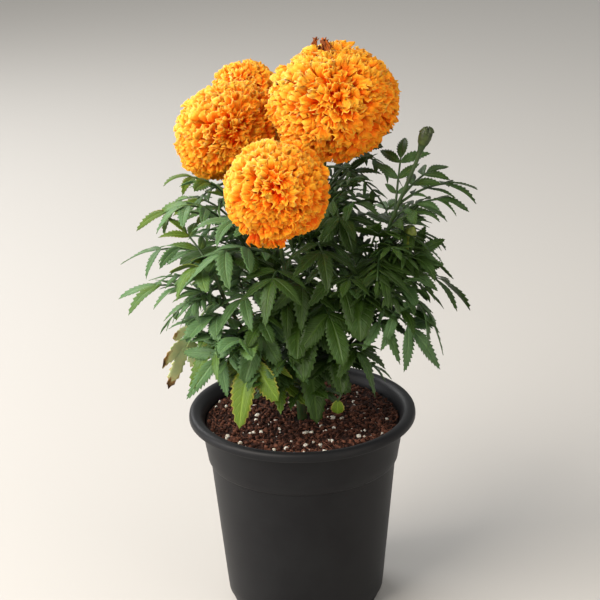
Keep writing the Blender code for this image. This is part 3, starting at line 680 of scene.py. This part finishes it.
def leaf_map(base, tip, leaflet, arch):
    """The leaf's length, and the function that bends its flat (x, y, height) onto the arch from base to tip."""
    reach = tip - base
    crown = base + reach / 2 + Vector((0, 0, 2 * arch * reach.length))
    sideways = Vector((reach.x, reach.y, 0)).normalized().cross(Vector((0, 0, 1)))
    length = reach.length * (1 + 2 * arch * arch)

    def bent(x, y, height):
        t = x / length
        on_rib = base * (1 - t) ** 2 + crown * 2 * t * (1 - t) + tip * t * t
        ahead = ((crown - base) * (1 - t) + (tip - crown) * t).normalized()
        return on_rib + sideways * y + sideways.cross(ahead) * (height - LEAF_DROOP * y * y / leaflet)

    return length, bent


def leaflet_blade(bm, bent, root, ahead, outer, wide, cells, shade):
    """One saw-edged leaflet: a grid laid from its root along ahead, folded along its midrib, twisted and rippled."""
    tint = bm.verts.layers.float["shade"]
    widest, taper = (1.05, 0.55) if wide > 0.2 * ahead.length else (0.82, 0.85)
    bite = min(1.0, 5.0 / wide) * min(1.0, ahead.length / 25)
    roll = draw.uniform(-0.35, 0.35)
    twist = draw.uniform(-0.6, 0.6)
    fold = draw.uniform(0.06, 0.34)
    droop = draw.uniform(-0.02, 0.2) * ahead.length
    wave = draw.uniform(0, tau)
    for vert in blade_grid(bm, cells, 1):
        share = vert.co.x + 0.5
        across = vert.co.y * 2
        row = round(share * cells[0])
        edge = abs(across) ** 3
        half = wide * sin(pi * min(1.0, share ** widest * 0.985 + 0.015)) ** taper
        half *= 1 + (TOOTH_DEPTH[row % 2] - 1) * edge * bite
        forward = share + (0.035 if row % 2 == 0 else -0.012) * edge * bite * (0 < row < cells[0])
        side = half * across
        height = (
            (roll + twist * share) * side + fold * abs(side) - droop * share * share
            + 0.06 * wide * sin(wave + share * 9.0) * across * across
        )
        flat = root + ahead * forward + outer * side
        vert.co = bent(flat.x, flat.y, height)
        vert[tint] = shade


def feathered_leaf(base, tip, leaflet, pairs, arch, cells, shade, rolled=0):
    """A rib with its leaflets in pairs and one at the tip, and small ones low down, rolled by these degrees."""
    leaf = sheet_mesh("leaflet")
    length, bent = leaf_map(base, tip, leaflet, arch)
    rib = [bent(length * (1 - leaflet / length) * i / 8, 0, -0.2) for i in range(9)]
    grow(leaf, rib, [0.85 - 0.05 * i for i in range(9)], 6, 0.0, 0, shade)
    last = length - leaflet - 3 * LEAFLET_ROOT
    spacing = min(LEAFLET_SPACING * leaflet, (last - 4 * LEAFLET_ROOT) / max(1, pairs - 1))
    wide = LEAFLET_WIDE[min(pairs, 3) - 1] * leaflet
    for side in (1, -1):
        places = []
        for index in range(pairs):
            share = (index + 1) / pairs
            places.append((last - spacing * (pairs - 1 - index), 0.82 + 0.18 * share, 58 - 10 * share))
        low = places[0][0] - 0.42 * leaflet
        if low > 7:
            places.append((low, 0.8 if pairs == 1 else 0.52, 62))
        for spot, size, lean in places:
            turn = radians(lean + draw.uniform(-7, 7))
            reach = leaflet * size * draw.uniform(0.9, 1.08)
            root = Vector((spot, RIB_HALF_WIDTH * side * 0.4))
            ahead = Vector((cos(turn), sin(turn) * side)) * reach
            outer = Vector((-sin(turn) * side, cos(turn)))
            leaflet_blade(leaf, bent, root, ahead, outer, wide * size, cells, shade + draw.uniform(-0.06, 0.06))
    root = Vector((length - leaflet * 1.02, 0))
    leaflet_blade(leaf, bent, root, Vector((leaflet * 1.02, 0)), Vector((0, 1)), wide * 1.1, cells, shade)
    if rolled:
        facing = Matrix.Rotation(radians(rolled), 4, tip - base)
        bmesh.ops.rotate(leaf, cent=base, matrix=facing, verts=leaf.verts[:])
    return leaf


def in_the_way(point):
    """Whether a leaf's tip or middle would run into a bloom, the pot or the soil, or leave the plant's own room."""
    for bloom in BLOOMS.values():
        if (point - Vector(bloom["centre"])).length < bloom["radius"] * 1.12:
            return True
    radius = hypot(point.x, point.y * 1.1)
    room = 56 + 48 * sin(pi * (point.z - 140) / 205)
    return not LOWEST_TIP < point.z < HIGHEST_TIP or radius > room or point.y < FRONT_TIP


# Leaf skin: matt wax over deep green, paler along the midrib and side veins, with light showing through a little.
leaf_skin = new_finish("marigold leaf")
plan = add(leaf_skin, "UVMap", {}, uv_map="leaflet")
split = add(leaf_skin, "SeparateXYZ", {"Vector": plan})
off_middle = add(leaf_skin, "Math", {0: split.outputs["Y"], 1: 0.5}, operation="SUBTRACT")
from_rib = add(leaf_skin, "Math", {0: off_middle}, operation="ABSOLUTE")
swept = add(leaf_skin, "Math", {0: from_rib, 1: -0.42, 2: split.outputs["X"]}, operation="MULTIPLY_ADD")
spaced = add(leaf_skin, "Math", {0: swept, 1: SIDE_VEINS * tau}, operation="MULTIPLY")
waves = add(leaf_skin, "Math", {0: spaced}, operation="COSINE")
side_veins = add(leaf_skin, "MapRange", {"Value": waves, "From Min": 0.72})
midrib = add(leaf_skin, "MapRange", {"Value": from_rib, "From Min": 0.085, "From Max": 0.02, "To Max": 1.6})
veins = add(leaf_skin, "Math", {0: side_veins, 1: midrib}, operation="MAXIMUM")
place = add(leaf_skin, "TexCoord", {}).outputs["Object"]
patches = add(leaf_skin, "TexNoise", {"Vector": place, "Scale": 120.0, "Detail": 4.0, "Roughness": 0.6})
# A leaf's shade is its age and also painted light: leaves on the left and on the right of the plant are painted
# lighter.
age_and_painted_light = add(leaf_skin, "Attribute", {}, attribute_name="shade").outputs["Fac"]
patchy_age_and_painted_light = add(leaf_skin, "Math", {0: patches, 1: 0.22, 2: age_and_painted_light}, operation="MULTIPLY_ADD")
# The grey-green stop in the middle of these scales is painted sheen for the leaves on the left; the yellow-green
# stops above it are the old low leaves.
green = add(
    leaf_skin, "ValToRGB", {"Fac": patchy_age_and_painted_light},
    [(0.1, "#17250a"), (0.35, "#2a430f"), (0.56, "#54764a"), (0.66, "#4a6414"), (0.95, "#6a7c1c")],
)
pale = add(
    leaf_skin, "ValToRGB", {"Fac": patchy_age_and_painted_light},
    [(0.1, "#26380f"), (0.35, "#3c561c"), (0.56, "#6c8c5e"), (0.66, "#63802a"), (0.95, "#8a9838")],
)
vein_share = add(leaf_skin, "Math", {0: veins, 1: 0.48}, operation="MULTIPLY", use_clamp=True)
veined = add(leaf_skin, "Mix", {"Factor": vein_share, "A": green, "B": pale}, data_type="RGBA")
edge = add(leaf_skin, "MapRange", {"Value": from_rib, "From Min": 0.4, "From Max": 0.5})
old = add(leaf_skin, "MapRange", {"Value": age_and_painted_light, "From Min": 0.52, "From Max": 0.7})
yellowing = add(leaf_skin, "Math", {0: edge, 1: old}, operation="MULTIPLY")
aged_leaf = add(leaf_skin, "Mix", {"Factor": yellowing, "A": veined, "B": linear("#b09a48")}, data_type="RGBA")
quilting = add(leaf_skin, "Bump", {"Height": veins, "Strength": 0.55, "Distance": 0.0006}, invert=True)
gloss = add(leaf_skin, "MapRange", {"Value": patches, "To Min": 0.36, "To Max": 0.56})
shader = add(leaf_skin, "BsdfPrincipled", {
    "Base Color": aged_leaf, "Roughness": gloss, "IOR": 1.45, "Specular IOR Level": 0.28,
    "Subsurface Weight": 0.22, "Subsurface Scale": 0.0006, "Subsurface Radius": (0.9, 1.0, 0.25),
    "Normal": quilting,
})
add(leaf_skin, "OutputMaterial", {"Surface": shader})


def true_tip(node, base, tip):
    """The leaf's tip in the solid, which may be swung a little from its listed place, clear of its neighbours."""
    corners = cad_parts[node].data.vertices
    tree = KDTree(len(corners))
    for index, corner in enumerate(corners):
        tree.insert(corner.co / MM, index)
    tree.balance()
    tips = [turned_tip(base, Vector(tip), *turn) for turn in LEAF_TURNS]
    return next((spot for spot in tips if tree.find(spot)[2] < 0.45), tips[0])


def leaf_tone_with_painted_light(point):
    """How light a leaf is painted: old low front leaves are yellowest, those on the left paler, painted light and
    sheen from the left, and those on the right a little lighter, painted light.
    """
    low = min(1.0, max(0.0, (205 - point.z) / 40)) * (point.y < -30) * (-60 < point.x < 10)
    left = min(1.0, max(0.0, -point.x - 22) / 50)
    right = min(1.0, max(0.0, point.x - 10) / 40)
    return 0.19 + max(0.42 * low, 0.28 * left, 0.06 * right)


def filling(route, count, low, high, leaflets, pairs, cells, lengths):
    """Leaves thrown at random round this stretch of a stem, where there is room for them."""
    made = 0
    for attempt in range(TRIES):
        if made == count:
            return
        base = along(route, draw.uniform(low, high))
        outward = Vector((base.x, base.y, 0)) * 0.015 + Vector(
            (draw.uniform(-1, 1), draw.uniform(-1, 1), draw.uniform(-0.6, 0.9))
        )
        end = base + outward.normalized() * draw.uniform(*lengths)
        if in_the_way(end) or in_the_way(base.lerp(end, 0.6)) or (end - base).to_2d().length < 14:
            continue
        # Painted shade: leaves thrown in among and behind the listed ones are painted a fifth darker.
        yield feathered_leaf(
            base, end, draw.uniform(*leaflets), draw.choice(pairs), draw.uniform(0.02, 0.2), cells,
            max(0.08, leaf_tone_with_painted_light(end) * 0.8 + draw.uniform(-0.06, 0.1)),
        )
        made += 1


for name, route in leaf_routes.items():
    leaves = sheet_mesh("leaflet")
    for share, tip, leaflet, pairs, arch in LEAVES[name]:
        base = along(route, share)
        end = true_tip(name, base, tip)
        shade = leaf_tone_with_painted_light(end) + draw.uniform(-0.06, 0.08)
        cells = LARGE_CELLS if pairs == 1 else LEAFLET_CELLS
        gather(leaves, feathered_leaf(base, end, leaflet, pairs, arch, cells, shade))
    for share, tip, leaflet, pairs, arch, rolled, shade in BROAD_LEAVES.get(name, []):
        base = along(route, share)
        gather(leaves, feathered_leaf(base, Vector(tip), leaflet, pairs, arch, LARGE_CELLS, shade, rolled))
    scattered = [*filling(route, FILLING_LEAVES, *FILLING), *filling(route, FINE_LEAVES.get(name, 0), *FINE_FILLING)]
    for leaf in scattered:
        gather(leaves, leaf)
    if name == "main_stem":
        # The seedling's plain first leaf hangs low at the front on its thin stalk.
        leaf = sheet_mesh("leaflet")
        stalk = smooth_route(SEED_LEAF_STALK, 3)
        grow(leaf, stalk, [0.6] * len(stalk), 6, 0.0, 0, 0.7)
        leaflet_blade(
            leaf, lambda x, y, height: SEED_LEAF_TOP + Vector((y, -height, -x)), Vector((0, 0)),
            Vector((SEED_LEAF_LENGTH, 0)), Vector((0, 1)), SEED_LEAF_WIDE, (10, 4), 0.62,
        )
        gather(leaves, leaf)
    thicken(piece_of(name + "_leaves", leaves, [rind, leaf_skin], "leaf", name), LEAF_SHEET)

# Withered leaf. One old leaf hangs over the rim at the lower left, yellow where it still holds some sap, and
# brown and curled at its dead tips.
WITHERED_TIP = (-92, -24, 172)
WITHERED_LEAFLET = 22
WITHERED_ROLL = 55
WITHERED_CURL = 1.6
withered_skin = new_finish("withered leaf")
place = add(withered_skin, "TexCoord", {}).outputs["Object"]
blotches = add(withered_skin, "TexNoise", {"Vector": place, "Scale": 90.0, "Detail": 4.0, "Roughness": 0.55})
plan = add(withered_skin, "UVMap", {}, uv_map="leaflet")
split = add(withered_skin, "SeparateXYZ", {"Vector": plan})
dryness = add(withered_skin, "Math", {0: split.outputs["X"], 1: 0.42, 2: blotches}, operation="MULTIPLY_ADD")
faded = add(
    withered_skin, "ValToRGB", {"Fac": dryness},
    [(0.5, "#aec48c"), (0.78, "#cbd296"), (0.88, "#a27c42"), (0.96, "#40280f")],
)
shader = add(withered_skin, "BsdfPrincipled", {
    "Base Color": faded, "Roughness": 0.72, "IOR": 1.45, "Subsurface Weight": 0.15, "Subsurface Scale": 0.0006,
})
add(withered_skin, "OutputMaterial", {"Surface": shader})
outward = Vector((-1, -0.2, 0)).normalized()
base = along(leaf_routes["low_left_stem"], 0.8) + outward * (BRANCH_RADIUS + 0.6)
end = true_tip("withered_leaf", base, WITHERED_TIP)
old_leaf = feathered_leaf(base, end, WITHERED_LEAFLET, 1, 0.25, (14, 4), 0.5, WITHERED_ROLL)
for vert in old_leaf.verts:
    vert.co += noise.noise_vector(vert.co * 0.12) * WITHERED_CURL
withered = piece_of("withered_leaf_dry", old_leaf, [withered_skin, withered_skin], "withered", "withered_leaf")
thicken(withered, LEAF_SHEET)

# Blooms. A double bloom is a ball of several hundred florets, packed from the green cup to a tight eye. Each
# floret is one thin petal, narrow at its root and wide at its tip, where it curls outwards and is frilled.
# Lengths that end in SHEET or WIDE are in millimetres. The others are shares of the bloom's radius.
PETAL_SHEET = 0.28
PETAL_ROOT = 0.42
PETAL_CELLS = (5, 12)
PETAL_WIDE = 6.0
LOOSE_PETAL_WIDE = 5.0
UNDER_CELLS = (5, 8)
UNDER_PETALS = 54
UNDER_ROOT = radians(158)
UNDER_START = 0.45
UNDER_REACH = 0.92
# Painted light: petals that face this way are painted yellower, as if lit, and those that face away deeper orange, as
# if in shade.
SUNNY_SIDE = Vector((-0.55, -0.25, 0.8)).normalized()
OUTER_ANGLE = radians(118)
GOLDEN_TURN = pi * (3 - sqrt(5))
CRUMPLE = 13.0
FRONT_DEPTH = 0.8
HEART = [(0, -0.46), (0.24, -0.46), (0.42, -0.3), (0.52, -0.05), (0.5, 0.2), (0.34, 0.42), (0, 0.5)]
LOOSE_PETALS = 12
draw = random.Random(23)

# Petal: velvety and thin, and it glows where light passes through it. Along the petal it is painted deep orange
# towards the root, painted shade for the pockets between petals, and golden at the frilled edge, a painted highlight
# where the edges catch the light.
petal_skin = new_finish("marigold petal")
plan = add(petal_skin, "UVMap", {}, uv_map="petal")
split = add(petal_skin, "SeparateXYZ", {"Vector": plan})
# Each petal's shade is partly a random tone and mostly painted light: how far the petal faces the sunny side.
petal_tone_and_painted_light = add(petal_skin, "Attribute", {}, attribute_name="shade").outputs["Fac"]
petal_tone_and_painted_light_share = add(petal_skin, "Math", {0: petal_tone_and_painted_light, 1: 0.48}, operation="MULTIPLY")
# Painted highlight and shade: the share along the petal, raised to a power, keeps the gold at the very edge and the
# deep orange down in the pockets.
lip = add(petal_skin, "Math", {0: split.outputs["X"], 1: 1.7}, operation="POWER")
toned = add(petal_skin, "Math", {0: lip, 1: 0.55, 2: petal_tone_and_painted_light_share}, operation="MULTIPLY_ADD")
orange = add(
    petal_skin, "ValToRGB", {"Fac": toned},
    [
        (0.22, "#fd4800"), (0.44, "#fe6604"), (0.6, "#fe8210"), (0.74, "#fe9a20"), (0.88, "#feae38"),
        (1.0, "#fec058"),
    ],
)
across = add(petal_skin, "Math", {0: split.outputs["Y"], 1: 60.0}, operation="MULTIPLY")
ridges = add(petal_skin, "Math", {0: across}, operation="SINE")
relief = add(petal_skin, "Bump", {"Height": ridges, "Strength": 0.2, "Distance": 0.0003})
shader = add(petal_skin, "BsdfPrincipled", {
    "Base Color": orange, "Roughness": 0.62, "IOR": 1.4, "Specular IOR Level": 0.16,
    "Subsurface Weight": 0.8, "Subsurface Scale": 0.0013, "Subsurface Radius": (1.0, 1.0, 0.9),
    "Sheen Weight": 0.3, "Sheen Roughness": 0.5, "Sheen Tint": linear("#ff8420"), "Normal": relief,
})
add(petal_skin, "OutputMaterial", {"Surface": shader})


def midline(count, start, length, rises, lies):
    """A petal's rows from root to tip, as distance from the heart, turn and heading: it rises, then bends over."""
    distance, turn, before = start, 0.0, 0.0
    rows = [(distance, turn, rises)]
    for row in range(1, count + 1):
        along_petal = (row / count) ** 0.6
        heading = rises + (lies - rises) * along_petal ** 2.6
        distance += (along_petal - before) * length * cos(heading)
        turn += (along_petal - before) * length * sin(heading) / distance
        before = along_petal
        rows.append((distance, turn, heading))
    return rows


def petal_blade(bloom, axes, spot, outward, rows, cells_across, size, reach):
    """One frilled petal along these rows, which start over this spot of the bloom and turn outward from there."""
    petal = sheet_mesh("petal")
    tint = petal.verts.layers.float["shade"]
    sideways, upward, forward = axes
    wide, tall = bloom["spread"]
    last_row = len(rows) - 1
    waves = draw.uniform(1.4, 3.0)
    phase = draw.uniform(0, tau)
    scallops = draw.uniform(0, tau)
    notch = draw.uniform(0.0, 1.0)
    frill = draw.uniform(0.6, 1.6) / bloom["radius"]
    across_way = spot.cross(outward)
    # Painted light and shade: about a third of the shade is random, and the rest is how far the petal faces the sunny
    # side.
    facing = (sideways * spot.x + upward * spot.y + forward * spot.z).dot(SUNNY_SIDE)
    shade = 0.35 * draw.random() + 0.65 * (0.5 + 0.5 * facing)
    for vert in blade_grid(petal, (last_row, cells_across)):
        share = vert.co.x + 0.5
        across = vert.co.y * 2
        distance, turn, heading = rows[round(share * last_row)]
        spoke = spot * cos(turn) + outward * sin(turn)
        aside = outward * cos(turn) - spot * sin(turn)
        ahead = spoke * cos(heading) + aside * sin(heading)
        outside = spoke * sin(heading) - aside * cos(heading)
        half = size / bloom["radius"] * (0.25 + 0.75 * share ** 0.8)
        margin = 0.028 * cos(across * 9 + scallops) - 0.06 * across * across
        margin -= 0.05 * notch * exp(-(across * 3.5) ** 2)
        ruffle = frill * share ** 1.4 * sin(across * pi * waves + phase)
        local = spoke * distance + ahead * (margin * share ** 3) + across_way * (half * across) + outside * ruffle
        local += noise.noise_vector(local * CRUMPLE) * (share / CRUMPLE)
        local *= min(1.0, (reach + 0.07) / local.length)
        deep = FRONT_DEPTH if local.z > 0 else 1.0
        vert.co = Vector(bloom["centre"]) + bloom["radius"] * (
            sideways * local.x * wide + upward * local.y * tall + forward * local.z * deep
        )
        vert[tint] = shade
    return petal


def floret(bloom, polar, round_axis, size, reach):
    """A petal of the ball, with its tip at this polar angle from the axis, this angle round it, and this far out."""
    open_share = min(1.0, polar / 0.7)
    swing = draw.uniform(-1, 1) * (1.5 - 0.5 * open_share)
    around = Vector((cos(round_axis), sin(round_axis), 0))
    level = Vector((-sin(round_axis), cos(round_axis), 0))
    spot = around * sin(polar) + Vector((0, 0, cos(polar)))
    away = around * cos(polar) - Vector((0, 0, sin(polar)))
    outward = away * cos(swing) + level * sin(swing)
    reach += 0.1 * noise.noise(spot * 2.4 + Vector(bloom["centre"])) - 0.09 * (1 - open_share)
    lies = radians(draw.uniform(10, 62) + 22 * open_share)
    rows = midline(PETAL_CELLS[0], PETAL_ROOT, (reach - PETAL_ROOT) * 1.2, 0.0, lies)
    rows = [(distance, turn - rows[-2][1], heading) for distance, turn, heading in rows]
    return petal_blade(bloom, bloom_axes(*bloom["face"]), spot, outward, rows, PETAL_CELLS[1], size, reach)


def under_petal(bloom, share, round_axis):
    """A petal of the bloom's back, which spreads from the cup's rim: low ones are short, and high ones are long."""
    around = Vector((cos(round_axis), sin(round_axis), 0))
    spot = around * sin(UNDER_ROOT) + Vector((0, 0, cos(UNDER_ROOT)))
    outward = Vector((0, 0, sin(UNDER_ROOT))) - around * cos(UNDER_ROOT)
    rises = radians(30 + 28 * share + draw.uniform(-6, 6))
    lies = rises + radians(draw.uniform(-12, 18))
    rows = midline(UNDER_CELLS[0], UNDER_START, (0.34 + 0.46 * share) * draw.uniform(0.88, 1.12), rises, lies)
    size = 4.5 + 3.5 * share
    return petal_blade(bloom, bloom_axes(*bloom["grown"]), spot, outward, rows, UNDER_CELLS[1], size, UNDER_REACH)


def towards(bloom, direction):
    """The polar angle and the angle round the axis of this direction, as seen from the bloom's middle."""
    local = Matrix(bloom_axes(*bloom["face"])) @ Vector(direction).normalized()
    return acos(local.z), atan2(local.y, local.x)


for name, bloom in BLOOMS.items():
    petals = sheet_mesh("petal")
    for index in range(bloom["florets"]):
        share = (index + 0.5) / bloom["florets"]
        polar = acos(1 - (1 - cos(OUTER_ANGLE)) * share) + draw.uniform(-0.05, 0.05)
        size = PETAL_WIDE * (0.5 + 0.5 * min(1.0, polar / 0.8)) * draw.uniform(0.75, 1.25)
        turn = index * GOLDEN_TURN + draw.uniform(-0.12, 0.12)
        gather(petals, floret(bloom, polar, turn, size, draw.uniform(0.9, 0.96)))
    for index in range(UNDER_PETALS):
        gather(petals, under_petal(bloom, index / UNDER_PETALS, index * GOLDEN_TURN))
    if name == "bloom_front":
        for index in range(LOOSE_PETALS):
            polar, turn = towards(bloom, (draw.uniform(-0.55, 0.15), -0.4, -1.0))
            gather(petals, floret(bloom, polar, turn, LOOSE_PETAL_WIDE, draw.uniform(1.0, 1.12)))
    thicken(piece_of(name + "_petals", petals, [petal_skin], "petal", name), PETAL_SHEET)
    # The heart is the solid core of the ball. It has no plan and no shade, so it takes the deepest orange of the
    # scale, the painted shade of the pockets.
    heart_mesh = spun(HEART, 24)
    axes = Matrix(bloom_axes(*bloom["grown"])).transposed().to_4x4()
    axes.translation = Vector(bloom["centre"])
    bmesh.ops.transform(heart_mesh, matrix=axes @ Matrix.Scale(bloom["radius"], 4), verts=heart_mesh.verts[:])
    piece_of(name + "_heart", heart_mesh, [petal_skin], "petal", name)

# Dried petals. A small tuft on top of the large bloom has dried brown and curled up. They are the same thin
# frilled petals, shrunk, and they stand a little above their neighbours.
DRIED_PETALS = 5
DRIED_PETAL_WIDE = 1.9
dried_skin = mottled_finish("dried petal", 300.0, 4.0, (0.35, "#4a220a"), (0.6, "#b05a14"), 0.8, 1.4)
tuft = sheet_mesh("petal")
bloom = BLOOMS["bloom_large"]
for index in range(DRIED_PETALS):
    polar, turn = towards(bloom, (draw.uniform(-0.24, -0.06), draw.uniform(-0.15, 0.05), 1.0))
    gather(tuft, floret(bloom, polar, turn, DRIED_PETAL_WIDE, draw.uniform(0.97, 1.04)))
thicken(piece_of("dried_petals", tuft, [dried_skin], "withered"), PETAL_SHEET)

# Floor, light and camera. A plain pale floor, one large soft light from the upper left, weak ones round it with
# a soft spot on the blooms, and a pale sky, seen from above the rim as the plant was photographed.
floor_mesh = bmesh.new()
bmesh.ops.create_grid(floor_mesh, x_segments=1, y_segments=1, size=9.0)
floor = placed("floor", mesh_of("floor", floor_mesh))
paint = new_finish("pale matt floor paint")
shader = add(paint, "BsdfPrincipled", {"Base Color": linear("#c2c0bd"), "Roughness": 0.7})
add(paint, "OutputMaterial", {"Surface": shader})
floor.data.materials.append(paint)

SPOT_ANGLE = radians(11)
SPOT_BLEND = 0.8
for name, kind, spot, aim, power, size, tint in (
    ("key", "AREA", (-1.35, -0.8, 1.5), 0.25, 72.0, 1.8, "#fff6ea"),
    ("side", "AREA", (-1.7, -0.1, 0.5), 0.25, 11.0, 0.9, "#fbfbff"),
    ("fill", "AREA", (1.5, -1.1, 0.9), 0.25, 8.0, 1.5, "#fff0e0"),
    ("back", "AREA", (-0.9, 1.2, 1.2), 0.25, 14.0, 1.0, "#ffffff"),
    ("bloom spot", "SPOT", (1.1, -1.3, 0.3), 0.355, 56.0, 0.2, "#fff0e0"),
):
    lamp = bpy.data.lights.new(name, kind)
    lamp.energy = power
    lamp.color = linear(tint)[:3]
    if kind == "AREA":
        lamp.size = size
    else:
        lamp.shadow_soft_size = size
        lamp.spot_size = SPOT_ANGLE
        lamp.spot_blend = SPOT_BLEND
    holder = placed(name, lamp)
    holder.location = spot
    holder.rotation_euler = (Vector((0, 0, aim)) - Vector(spot)).to_track_quat("-Z", "Y").to_euler()
sky = bpy.data.worlds.new("sky")
sky.use_nodes = True
daylight = sky.node_tree.nodes["Background"].inputs
daylight["Color"].default_value = linear("#f3f3f0")
daylight["Strength"].default_value = 0.48
scene = bpy.context.scene
scene.world = sky
scene.view_settings.view_transform = "Standard"

# The lens is fitted to the photo, in its pixels.
PHOTO_SIDE = 600
FOCAL_LENGTH = 1725.4
CENTRE_SHIFT = (-0.62, 36.54)
SENSOR = 36.0
CAMERA_AIM = 0.2
CAMERA_DISTANCE = 1.2
CAMERA_ELEVATION = radians(21.79)
CAMERA_ROLL = radians(-1.28)
lens = bpy.data.cameras.new("camera")
lens.sensor_width = SENSOR
lens.lens = SENSOR * FOCAL_LENGTH / PHOTO_SIDE
lens.shift_x = CENTRE_SHIFT[0] / PHOTO_SIDE
lens.shift_y = CENTRE_SHIFT[1] / PHOTO_SIDE
camera = placed("camera", lens)
camera.matrix_world = (
    Matrix.Translation(
        (0, -CAMERA_DISTANCE * cos(CAMERA_ELEVATION), CAMERA_AIM + CAMERA_DISTANCE * sin(CAMERA_ELEVATION))
    )
    @ Matrix.Rotation(pi / 2 - CAMERA_ELEVATION, 4, "X")
    @ Matrix.Rotation(CAMERA_ROLL, 4, "Z")
)
scene.camera = camera
